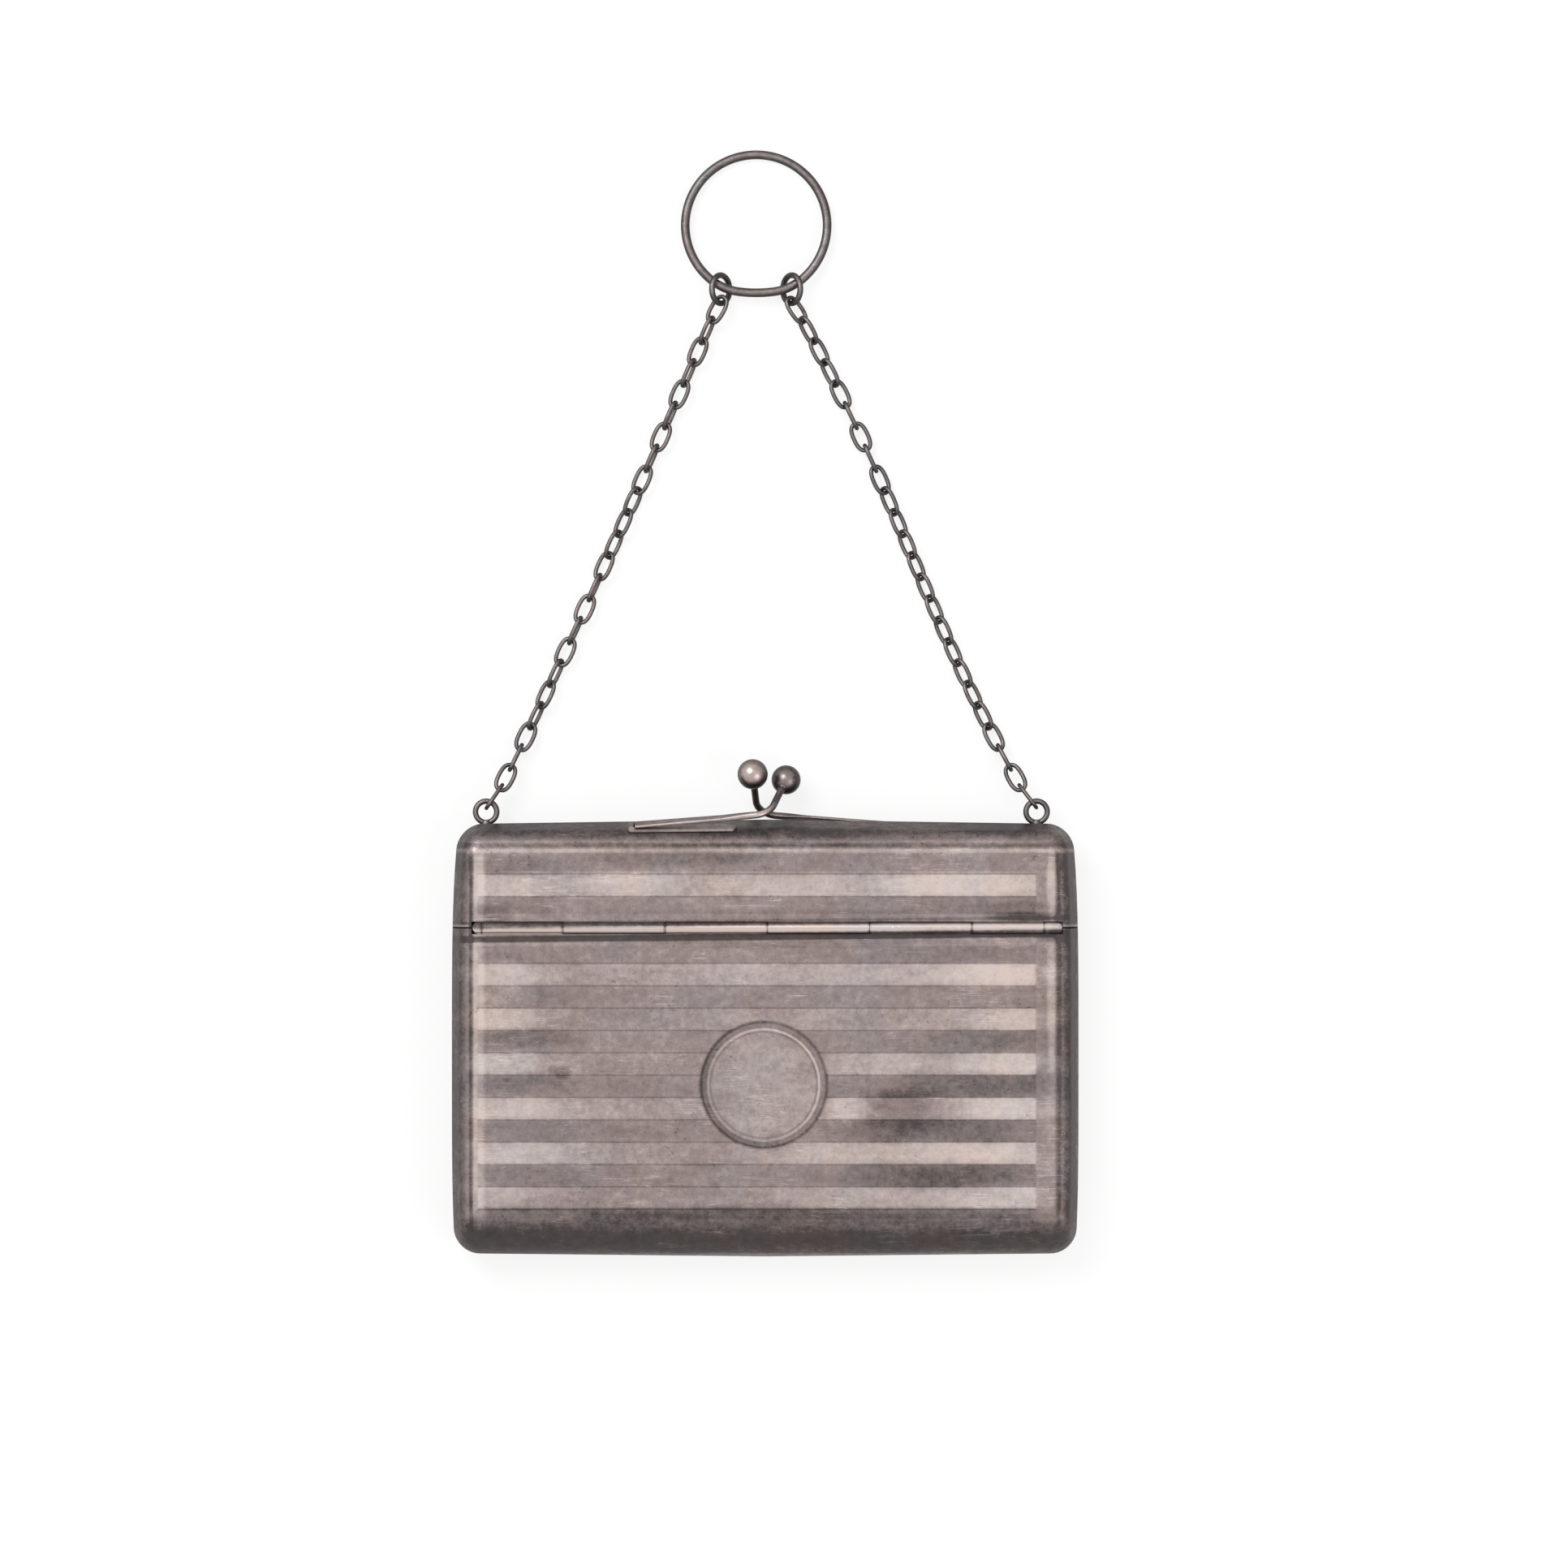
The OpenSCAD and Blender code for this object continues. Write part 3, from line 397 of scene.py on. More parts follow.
def band_tone(place, x, y, r, tone):
    """The bands: a lighter and a darker stripe by turns, where neither hinge nor cartouche is."""
    step = calc("FLOORED_MODULO", minus(y, LID_BAND_Y - BAND_PITCH / 2), BAND_PITCH)
    off = off_by(step, BAND_PITCH / 2)
    ends = [(end - BAND_END_SOFT, end + BAND_END_SOFT) for end in (BAND_LEFT, BAND_RIGHT)]
    field = times(within(x, *ends), within(y, *FIELD),
                  ramp(off_by(y, HINGE_MIDDLE), *HINGE_CLEAR), ramp(r, *CARTOUCHE_CLEAR))
    band = ramp(off, BAND_WIDTH / 2 - BAND_SOFT, BAND_WIDTH / 2 + BAND_SOFT, 1, 0)
    stretched = add(place, "ShaderNodeMapping", Vector=place, Scale=(0.6, 1.6, 1))
    contrast = plus(ramp(noise(stretched, 42, 2), 0.36, 0.66, 0.02, 0.22),
                    ramp(x, 6, 36, 0, 0.2), ramp(x, -38, -24, 0.16, 0))
    tone = weigh(tone, times(minus(band, BAND_SHARE), contrast), field)
    return weigh(tone, stripe(off, *HAIRLINE), field)


def cartouche_tone(dx, dy, r, tone):
    """The cartouche: a dark round bed between two fine lines, a rim lit from one side, a rubbed middle."""
    lit = ramp(weigh(times(dx, LIT_FROM[0]), dy, LIT_FROM[1]), *LIT)
    tone = weigh(tone, within(r, *BED), minus(times(lit, BED_LIT), BED_DARK))
    tone = weigh(tone, stripe(r, *RIM), lit)
    return plus(tone, ramp(r, *MIDDLE), *(stripe(r, *given) for given in ROUND_LINES))


def panel_tone(place, tone):
    """Adds the bands, the cartouche, the painted light and shade of the edge lines and steps, the stains
    and painted shadows, the polish and painted highlights, and the painted shade of the rolls.
    """
    x, y, z = millimetres(place)
    dx, dy = minus(x, CARTOUCHE[0]), minus(y, CARTOUCHE[1])
    r = calc("SQRT", squares(dx, dy))
    tone = band_tone(place, x, y, r, tone)
    tone = cartouche_tone(dx, dy, r, tone)
    tone = weigh(tone, within(y, *ABOVE_BAND), ABOVE_SHADE)
    level = minus(y, times(x, HINGE_SLANT))
    for height, lines in ((y, TOP_HIGHLIGHT_AND_SHADE), (level, HINGE_SHADOW_AND_DIRT)):
        tone = plus(tone, *(stripe(height, *given) for given in lines))
    aside = calc("ABSOLUTE", x)
    bottom = ramp(weigh(aside, plus(y, MITRE_Y), MITRE_LEAN), *MITRE_AT, 1, 0)
    beside = times(within(y, *BESIDE), ramp(z, *SIDE_FADE))
    for across, steps, mask in ((y, BOTTOM_LIGHT_AND_SHADE, bottom), (x, SIDE_LIGHT_AND_SHADE, beside)):
        for start, stop, amount in steps:
            tone = weigh(tone, ramp(across, start, stop, 0, amount), mask)
    tone = weigh(tone, stripe(y, *SLIT_HIGHLIGHT), ramp(aside, *SLIT_ENDS))
    # stains and painted shadows, then polish and painted highlights
    tone = minus(tone, soft_spots(x, y, STAINS_AND_SHADOWS))
    tone = plus(tone, soft_spots(x, y, POLISH_AND_HIGHLIGHTS))
    return edge_tone(place, tone)


def edge_tone(place, tone):
    """Rolled edges, in painted shade: a dark line at the crease where the roll starts, then darker down to
    the seam.
    """
    roll = add(place, "ShaderNodeAttribute", {"attribute_name": "roll"}).outputs["Fac"]
    return plus(tone, stripe(roll, *ROLL_CREASE_SHADE), ramp(roll, *ROLL_SHADE))


panel_silver = silver("engraved silver", base=0.525, patchy=0.2, gloss=0.4, extra=panel_tone,
                      drawn=(0.45, 1.3, 1))
back_silver = silver("shell silver", base=0.5, patchy=0.34, gloss=0.38, extra=edge_tone)
print("panel nodes", len(panel_silver.node_tree.nodes))

# %% [markdown]
# ## The pressed shells
# Each half of the case is a sheet of silver pressed into a shallow tray: a flat panel, an edge rolled
# down through 75 degrees, a short straight wall, and a seam. The rings from panel to seam have the same
# outline, only wider, so one function gives any ring from its depth under the face. Lofting the rings
# in mesh code gives clean lines of faces along the roll, which catch the light as a pressing does. A
# number stored on each point, from 0 on the panel to 1 at the seam, lets the silver take painted shade
# down the roll.

# %% Ring of a tray
SEAM_Z, WALL, SLOPE = 5.5, 0.5, radians(75)
SIDE_ROLL, TOP_ROLL, BOTTOM_ROLL = 3, 3.65, 6.1
HALF_W, PANEL_TOP, PANEL_LOW = 42, 27.2, -24.7
CORNER, PANEL_CORNER = 3.6, 0.8
SIDE_DRAW, WIDEST_Y, DRAW_SPAN = 0.9, -3, 33
TOP_CROWN, LOW_CROWN = 0.65, 0.45
HINGE_Y = 16
# steps of the outline: a corner, the top and bottom, a whole side, and its parts in the two fronts
CORNER_STEPS, ACROSS, SIDE, LOWER_SIDE, FLAP_SIDE = 10, 24, 18, 12, 6


def reach(width, depth, inset):
    """How far a rolled edge reaches past the panel at a depth under the face."""
    r = (width * sin(SLOPE) - SEAM_Z * cos(SLOPE)) / (1 - cos(SLOPE))
    inner = r - inset
    straight = r - inner * cos(SLOPE)
    if depth <= straight:
        return sqrt(max(0, inner * inner - (r - depth) ** 2))
    return inner * sin(SLOPE) + (depth - straight) / tan(SLOPE)


def bowed(x, y):
    """The sides draw in near the corners, and the top and bottom edges are crowned."""
    half_w = HALF_W + SIDE_ROLL
    bx = x * (1 - SIDE_DRAW * ((y - WIDEST_Y) / DRAW_SPAN) ** 4 / half_w)
    lean = 1 - abs(bx) / half_w
    up = max(0, y - PANEL_TOP) / TOP_ROLL
    down = max(0, PANEL_LOW - y) / BOTTOM_ROLL
    return bx, y + lean * (TOP_CROWN * up - LOW_CROWN * down)


def line(a, b, steps):
    """Points from a to b, without b itself."""
    return [(a[0] + (b[0] - a[0]) * k / steps, a[1] + (b[1] - a[1]) * k / steps) for k in range(steps)]


def corner(cx, cy, r, start):
    """Points of a quarter circle from an angle on."""
    angles = [radians(start + 90 * k / CORNER_STEPS) for k in range(CORNER_STEPS)]
    return [(cx + r * cos(a), cy + r * sin(a)) for a in angles]


def ring(depth, inset, part, cut):
    """The outline at a depth. Part 0 is the whole ring, 1 is what lies over the cut, -1 under it."""
    w = HALF_W + reach(SIDE_ROLL, depth, inset)
    top = PANEL_TOP + reach(TOP_ROLL, depth, inset)
    low = PANEL_LOW - reach(BOTTOM_ROLL, depth, inset)
    r = PANEL_CORNER + (CORNER - PANEL_CORNER) * (w - HALF_W) / SIDE_ROLL
    right, left = w - r, r - w
    high, deep = top - r, low + r
    upper = corner(right, high, r, 0) + line((right, top), (left, top), ACROSS) + corner(left, high, r, 90)
    lower = corner(left, deep, r, 180) + line((left, low), (right, low), ACROSS) + corner(right, deep, r, 270)
    if part > 0:
        pts = line((w, cut), (w, high), FLAP_SIDE) + upper + line((-w, high), (-w, cut), FLAP_SIDE)
        pts.append((-w, cut))
    elif part < 0:
        pts = line((-w, cut), (-w, deep), LOWER_SIDE) + lower + line((w, deep), (w, cut), LOWER_SIDE)
        pts.append((w, cut))
    else:
        pts = upper + line((-w, high), (-w, deep), SIDE) + lower + line((w, deep), (w, high), SIDE)
    return [bowed(*p) for p in pts]


print("ring points", len(ring(SEAM_Z, 0, 0, 0)))

# %% Loft a tray
LEVELS = 14
HALF_GAP, FLAP_RIM = 0.1, 0.08  # between the two fronts, and under the flap


def into_scene(name, bm, mesh, material=None):
    """Turns the faces outward, and puts the mesh in the scene with its material."""
    bmesh.ops.recalc_face_normals(bm, faces=bm.faces)
    bm.to_mesh(mesh)
    bm.free()
    if material:
        mesh.materials.append(material)
    return new_object(name, mesh)


def solid(name, verts, faces, material, weld=False):
    """A piece from its points in metres and its faces; weld joins points that are equal."""
    mesh = bpy.data.meshes.new(name)
    mesh.from_pydata(verts, [], faces)
    bm = bmesh.new()
    bm.from_mesh(mesh)
    if weld:
        bmesh.ops.remove_doubles(bm, verts=bm.verts, dist=1e-7)
    return into_scene(name, bm, mesh, material)


def tray(name, part, cut, rim, front, material):
    """Lofts one pressed tray, outside and inside, and closes its rim."""
    verts, rolls = [], []
    for inset in (0, WALL):
        for k in range(LEVELS + 1):
            roll = 1 - k / LEVELS
            depth = inset + (SEAM_Z - rim - inset) * (1 - cos(radians(90 * roll)))
            z = SEAM_Z - depth
            for x, y in ring(depth, inset, part, cut):
                verts.append((x, y, SEAM_Z + z if front else SEAM_Z - z))
                rolls.append(roll)
    n = len(ring(SEAM_Z, 0, part, cut))
    closed = part == 0
    faces = []
    base = (LEVELS + 1) * n
    last = n if closed else n - 1
    for k in range(LEVELS):
        for i in range(last):
            a, b = k * n + i, k * n + (i + 1) % n
            faces.append((a, b, b + n, a + n))
            faces.append((base + a, base + a + n, base + b + n, base + b))
    for i in range(last):
        a, b = i, (i + 1) % n
        faces.append((a, base + a, base + b, b))
    if not closed:
        for k in range(LEVELS):
            a, b = k * n, k * n + n - 1
            faces.append((a, a + n, base + a + n, base + a))
            faces.append((b, base + b, base + b + n, b + n))
        a, b = LEVELS * n, LEVELS * n + n - 1
        faces.append((a, b, base + b, base + a))
    faces.append(tuple(LEVELS * n + i for i in range(n)))
    faces.append(tuple(base + LEVELS * n + i for i in reversed(range(n))))
    shell = solid(name, [(x * MM, y * MM, z * MM) for x, y, z in verts], faces, material)
    shell.data.attributes.new("roll", "FLOAT", "POINT").data.foreach_set("value", rolls)
    return shell


def smooth(piece, angle):
    """Smooth shading, with edges sharper than the angle left sharp."""
    piece.data.polygons.foreach_set("use_smooth", [True] * len(piece.data.polygons))
    piece.data.set_sharp_from_angle(angle=radians(angle))


def as_mesh(piece):
    """Turns a piece's modifiers into plain mesh."""
    graph = bpy.context.evaluated_depsgraph_get()
    plain = bpy.data.meshes.new_from_object(
        piece.evaluated_get(graph), preserve_all_data_layers=True, depsgraph=graph)
    piece.modifiers.clear()
    piece.data = plain
    return piece


back = tray("back_tray", 0, 0, 0, False, back_silver)
lower = tray("lower_front", -1, HINGE_Y - HALF_GAP, 0, True, panel_silver)
flap = tray("top_flap", 1, HINGE_Y + HALF_GAP, FLAP_RIM, True, panel_silver)
print("trays", [len(o.data.polygons) for o in (back, lower, flap)])

# %% [markdown]
# The hinge barrel lies in a slot along the front, half in the flap and half in the lower front. The
# bands are sunk a little under the face, and a groove runs round the cartouche. All of them are plain
# solids that a Boolean cuts out, and the result is made plain mesh at once: the frame's calls and the
# export both want finished meshes.

# %% Tools to cut with
FACE_Z, PAST, ROUND_STEPS = 11, 0.4, 160  # PAST is how far a cut goes on into the air


def box(bm, low, high):
    """Adds a box between two corners."""
    for v in bmesh.ops.create_cube(bm, size=1)["verts"]:
        v.co = Vector([((low[k] + high[k]) / 2 + v.co[k] * (high[k] - low[k])) * MM for k in range(3)])


def washer(bm, middle, inner, outer, low, high):
    """Adds a flat ring round a point of the face. An inner radius of 0 gives a disc."""
    rings = []
    for r, z in ((outer, low), (outer, high), (inner, high), (inner, low)):
        turns = [2 * pi * k / ROUND_STEPS for k in range(ROUND_STEPS if r else 0)]
        around = [((middle[0] + r * cos(t)) * MM, (middle[1] + r * sin(t)) * MM, z * MM) for t in turns]
        rings.append([bm.verts.new(spot) for spot in around])
    if not inner:
        bm.faces.new(rings[0])
        bm.faces.new(rings[1])
        rings = rings[:2]
    for one, two in zip(rings, rings[1:] + (rings[:1] if inner else [])):
        for k in range(ROUND_STEPS):
            nxt = (k + 1) % ROUND_STEPS
            bm.faces.new((one[k], one[nxt], two[nxt], two[k]))


def tool(name, make, *given):
    """A loose object holding the solids that make adds."""
    bm = bmesh.new()
    make(bm, *given)
    return into_scene(name, bm, bpy.data.meshes.new(name))


def carve(piece, cutter):
    """Cuts the cutter's shape out of the piece and leaves plain mesh."""
    cut = piece.modifiers.new("cut", "BOOLEAN")
    cut.operation, cut.solver, cut.object = "DIFFERENCE", "EXACT", cutter
    bpy.context.view_layer.update()
    return as_mesh(piece)


print("face at", FACE_Z)

# %% Cut the bands, the groove and the hinge slot
SLOT = ((-42.08, HINGE_Y - 0.9, 10.4), (42.68, HINGE_Y + 0.9, 12.5))
BAND_DEPTH, GROOVE_DEPTH, GROOVE_WIDTH, GROOVE_R = 0.06, 0.14, 1.2, 9.1
UNDER_CUT, IN_PANEL = 0.01, 0.3  # how far flatten_roll looks past the cuts, and inside the panel
LOWER_BANDS = [LID_BAND_Y - k * BAND_PITCH for k in range(2, 8)]


def bands(bm, middles):
    """Adds one shallow box for each band."""
    for y in middles:
        box(bm, (BAND_LEFT, y - BAND_WIDTH / 2, FACE_Z - BAND_DEPTH),
            (BAND_RIGHT, y + BAND_WIDTH / 2, FACE_Z + PAST))


def flatten_roll(shell):
    """A Boolean gives its new points no roll of their own. Those on the panel and in its cuts get 0."""
    rolls = shell.data.attributes["roll"].data
    for point, roll in zip(shell.data.vertices, rolls):
        x, y, z = point.co / MM
        inside = abs(x) < HALF_W - IN_PANEL and PANEL_LOW + IN_PANEL < y < PANEL_TOP - IN_PANEL
        if z > FACE_Z - GROOVE_DEPTH - UNDER_CUT and inside:
            roll.value = 0


slot = tool("slot", box, *SLOT)
disc = tool("disc", washer, CARTOUCHE, 0, GROOVE_R, FACE_Z - PAST, FACE_Z + 2 * PAST)
groove = tool("groove", washer, CARTOUCHE, GROOVE_R - GROOVE_WIDTH, GROOVE_R,
              FACE_Z - GROOVE_DEPTH, FACE_Z + PAST)
lower_bands = carve(tool("lower_bands", bands, LOWER_BANDS), disc)
lid_band = tool("lid_band", bands, [LID_BAND_Y])
for shell, cutters in ((lower, (lower_bands, groove, slot)), (flap, (lid_band, slot))):
    for cutter in cutters:
        carve(shell, cutter)
    flatten_roll(shell)
for cutter in (slot, disc, groove, lower_bands, lid_band):
    bpy.data.objects.remove(cutter)
for shell, body, node in ((back, "case", "back_shell"), (lower, "case", "front_shell"),
                          (flap, "lid", "lid_flap")):
    smooth(shell, 35)
    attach(shell, body)
    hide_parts(node)
print("shells cut", [len(o.data.polygons) for o in (lower, flap)])

# %% [markdown]
# ## The hinge
# Six knuckles turn on one pin. The CAD nodes already have the right shape, so they stay and only get
# a finish: a painted highlight along the crown of the barrel, painted shade on its flanks where they
# meet the plates, and dirt in the five joints and at both ends.

# %% Hinge finish
JOINTS, JOINT_GAP = (-40.6, -29, -14.35, 0.3, 14.95, 29.6, 40), (0.1, 0.38, -0.34)
# The crest: a painted highlight along the top of the barrel and painted shade on its flanks.
CREST_Y, CREST_SLANT, CREST_HIGHLIGHT = 15.84, 0.011, (0.2, 0.8, 0.6, -0.34)
END_SHADE = (40.4, 41.4, 0, -0.24)


def hinge_tone(place, tone):
    """Painted highlight along the crown of the barrel and painted shade on its flanks; dark in the joints."""
    x, y = millimetres(place)[:2]
    crest = minus(y, times(x, CREST_SLANT))
    tone = plus(tone, ramp(off_by(crest, CREST_Y), *CREST_HIGHLIGHT), ramp(x, *END_SHADE))
    return plus(tone, *(stripe(x, joint, *JOINT_GAP) for joint in JOINTS))


def finish(node, material):
    """Gives a CAD node that stays a finish of its own."""
    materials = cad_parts[node].data.materials
    materials.clear()
    materials.append(material)


hinge_silver = silver("hinge silver", base=0.5, patchy=0.36, gloss=0.34, extra=hinge_tone)
for node in ("body_knuckles", "lid_knuckles", "hinge_pin", "hinge_end_caps"):
    finish(node, hinge_silver)
finish("inner_lip", silver("inner silver", base=0.66, patchy=0.2, gloss=0.3, grain=0.6))
print("hinge finished")

# %% [markdown]
# ## The clasp
# Each arm is a hairpin of spring silver. Its lower leaf is soldered to the top wall, and its upper
# leaf narrows, turns round and becomes the stem of a ball. A plain extrusion can't narrow and turn
# round at once, so the arm is swept in mesh code: a cross-section that goes from a flat strip to a
# circle is carried along the centre line of the leaf, the bend and the stem.

# %% Sweep helper
def skin(rows, sides, closed=False):
    """Faces between rows of points that each go round; closed joins the last row to the first."""
    faces = []
    for j in range(rows if closed else rows - 1):
        for k in range(sides):
            nxt, after = (k + 1) % sides, (j + 1) % rows * sides
            faces.append((j * sides + k, j * sides + nxt, after + nxt, after + k))
    return faces


def sweep(name, stations, material, closed=False, sides=20):
    """Carries a rounded section along stations, in millimetres. A station is its centre, the ways
    across and out, half its width, half its thickness, and how square it is (2 is a circle)."""
    verts = []
    for centre, across, out_dir, half_w, half_t, square in stations:
        for k in range(sides):
            a = 2 * pi * (k + 0.5) / sides
            c, s = cos(a), sin(a)
            px = half_w * copysign(abs(c) ** (2 / square), c)
            py = half_t * copysign(abs(s) ** (2 / square), s)
            verts.append((centre + across * px + out_dir * py) * MM)
    n = len(stations)
    faces = skin(n, sides, closed)
    if not closed:
        faces.append(tuple(reversed(range(sides))))
        faces.append(tuple((n - 1) * sides + k for k in range(sides)))
    piece = solid(name, verts, faces, material)
    smooth(piece, 50)
    return piece


print("sweep ready")

# %% Arms
# the fold, the hand, the body, the ball's middle and its diameter
SEAT_MM = {"front": (Vector((-19.1345, 30.4605, 9.6464)), 1, "front_arm", Vector((3.0, 37.2, 4.1)), 4.2),
           "rear": (Vector((-17.8345, 30.4736, 9.6464)), -1, "rear_arm", Vector((1.8, 38, 4.1)), 4.35)}
LEAN, SEAT_SLOPE, RISE = radians(28.8874), radians(0.578761), radians(4.7)
STRIP_W, STRIP_T, TIP_W, LEAF_GAP, STEM_START, BEND, STEM_D = 1.5, 0.42, 1, 0.1, 1.5, 3, 1
FOLD_CLEAR, ROUNDING, IN_BALL, SQUARE = 0.05, 5, 0.6, 7
LEAF_STEPS, BEND_STEPS, STEM_STEPS = 28, 16, 4
seat = Matrix.Rotation(SEAT_SLOPE, 3, "Z") @ Matrix.Rotation(LEAN, 3, "X")
leaf_dir = seat @ Vector((cos(RISE), sin(RISE), 0))
leaf_out = seat @ Vector((-sin(RISE), cos(RISE), 0))
leaf_across = seat @ Vector((0, 0, 1))


def arm_tone(place, tone, film=0):
    """Painted light on the arms: lighter on top and darker on the flanks, and darker along the stems.
    film is more painted shade, for the rear arm.
    """
    y = millimetres(place)[1]
    tone = painted_top_light(0.34, 0.28, start=0.55)(place, tone)
    return plus(tone, ramp(y, 32, 35, -film, -0.16 - film))


def shaded_rear_tone(place, tone):
    """The rear arm, which lies deeper, gets painted shade."""
    return arm_tone(place, tone, 0.26)


ARM_LOOK = dict(patchy=0.3, gloss=0.34, grain=0.8)
# The rear arm's silver is a shaded copy of the front one: a lower base and painted shade.
clasp_silver = {"front": silver("clasp silver", base=0.62, extra=arm_tone, **ARM_LOOK),
                "rear": silver("rear clasp silver in painted shade", base=0.5, extra=shaded_rear_tone, **ARM_LOOK)}


def arm_stations(fold, ball, ball_d):
    """Stations from the fold along the leaf, round the bend and into the ball."""
    length = -fold.x - STEM_START
    rise = leaf_out * (LEAF_GAP + STRIP_T) / 2
    end = fold + leaf_dir * length + rise
    to_ball = ball - end
    along = to_ball.dot(leaf_dir)
    side = to_ball - along * leaf_dir
    away = side.length
    side.normalize()
    tail = sqrt(along ** 2 + (away - BEND) ** 2 - BEND ** 2)
    turn = atan2(away - BEND, along) + atan2(BEND, tail)
    stations = []
    first = STRIP_T + LEAF_GAP / 2 + FOLD_CLEAR
    for k in range(LEAF_STEPS + 1):
        s = first + (length - first) * k / LEAF_STEPS
        narrow = s / length
        round_off = max(0, min(1, (s - length + ROUNDING) / ROUNDING))
        round_off = round_off * round_off * (3 - 2 * round_off)
        w = (STRIP_W + (TIP_W - STRIP_W) * narrow) / 2
        w = w + (STEM_D / 2 - w) * round_off
        t = STRIP_T / 2 + (STEM_D / 2 - STRIP_T / 2) * round_off
        square = SQUARE - (SQUARE - 2) * round_off
        stations.append((fold + leaf_dir * s + rise, leaf_across, leaf_out, w, t, square))
    for k in range(1, BEND_STEPS + 1):
        a = turn * k / BEND_STEPS
        centre = end + leaf_dir * (BEND * sin(a)) + side * (BEND * (1 - cos(a)))
        spin = Matrix.Rotation(a, 3, leaf_dir.cross(side))
        stations.append((centre, spin @ leaf_across, spin @ leaf_out, STEM_D / 2, STEM_D / 2, 2))
    last = stations[-1]
    heading = leaf_dir * cos(turn) + side * sin(turn)
    reach_in = tail - ball_d / 2 + IN_BALL
    for k in range(1, STEM_STEPS + 1):
        stations.append((last[0] + heading * (reach_in * k / STEM_STEPS), *last[1:]))
    return stations, heading


def to_rear(v, height=0):
    """Turns a direction of the front arm over to the rear one, or a point if the height is given."""
    return Vector((-v[0], v[1], height - v[2]))


headings = {}
for which, (fold, hand, body, ball, ball_d) in SEAT_MM.items():
    stations, heading = arm_stations(fold, ball, ball_d)
    if hand < 0:
        stations = [(to_rear(c, FACE_Z), to_rear(a), to_rear(o), *rest) for c, a, o, *rest in stations]
        heading, ball = to_rear(heading), to_rear(ball, FACE_Z)
    headings[which] = (ball, heading, ball_d, body)
    arm = sweep(which + "_spring_arm", stations, clasp_silver[which])
    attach(arm, body)
    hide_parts(which + "_clasp_arm")
    finish(which + "_clasp_base", clasp_silver[which])
print("arms", len(stations), "stations")

# %% [markdown]
# The balls are hollow silver beads, drawn up from sheet and soldered to the stems. A lathe profile
# gives the bead and the small collar of solder where the stem goes in.

# %% Balls
COLLAR_R, BEAD_STEPS, LATHE_STEPS = 0.62, 30, 40


def lathe(name, profile, centre, axis, material):
    """Turns a profile of (along, radius) round an axis, in millimetres."""
    axis = axis.normalized()
    side = axis.orthogonal().normalized()
    other = axis.cross(side)
    verts = []
    for along, r in profile:
        for k in range(LATHE_STEPS):
            a = 2 * pi * k / LATHE_STEPS
            spoke = side * cos(a) + other * sin(a)
            verts.append((centre + axis * along + spoke * r) * MM)
    piece = solid(name, verts, skin(len(profile), LATHE_STEPS), material, weld=True)
    smooth(piece, 60)
    return piece


# the collar's points: along from its seat, radius
COLLAR = ((0.1, 0), (-0.22, STEM_D / 2 + 0.01), (-0.12, STEM_D / 2 + 0.1))
# Painted light on the beads: a highlight towards the upper left, and dark rims.
BEAD_LOOK = dict(patchy=0.26, gloss=0.28, grain=0.8, extra=painted_top_light(0.48, 0.2, (-0.14, 0.12, 1), 0.42))
# The front bead has a far lower base than the rear one: painted shade, for the shadow it lies in.
bead_silver = {"front": silver("front bead silver in painted shade", base=0.3, **BEAD_LOOK),
               "rear": silver("rear bead silver", base=0.61, **BEAD_LOOK)}
for which, (ball, heading, ball_d, body) in headings.items():
    r = ball_d / 2
    first = asin(COLLAR_R / r)
    profile = [(along - r * cos(first), radius) for along, radius in COLLAR]
    for k in range(BEAD_STEPS + 1):
        a = first + (pi - first) * k / BEAD_STEPS
        profile.append((-r * cos(a), r * sin(a)))
    bead = lathe(which + "_bead", profile, ball, heading, bead_silver[which])
    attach(bead, body)
    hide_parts(which + "_ball")
print("beads", len(headings))

# %% [markdown]
# ## The chain
# Long oval links of round wire, one through the next, lie flat and on edge by turns. What repeats is a
# job for Geometry Nodes: one tree draws an oval, gives it its wire and sets it down twice, for the
# left and the right run. Each row of the chain is one body, so the tree makes one mesh for each row.
# A circle becomes a long oval by raising its X and Y to a power, which keeps the ends rounder than an
# ellipse has them. The jump rings further on have a tree of their own, and both share two functions.

# %% Link tree
def tree_with_inputs(name, *numbers):
    """A new tree with these numbers, a place and a turn on either side, and a metal as its inputs."""
    tree = bpy.data.node_groups.new(name, "GeometryNodeTree")
    face = tree.interface
    face.new_socket("Geometry", in_out="OUTPUT", socket_type="NodeSocketGeometry")
    for label in numbers:
        face.new_socket(label, in_out="INPUT", socket_type="NodeSocketFloat")
    for label in ("Left place", "Left turn", "Right place", "Right turn"):
        face.new_socket(label, in_out="INPUT", socket_type="NodeSocketVector")
    face.new_socket("Metal", in_out="INPUT", socket_type="NodeSocketMaterial")
    return tree, tree.nodes.new("NodeGroupInput").outputs


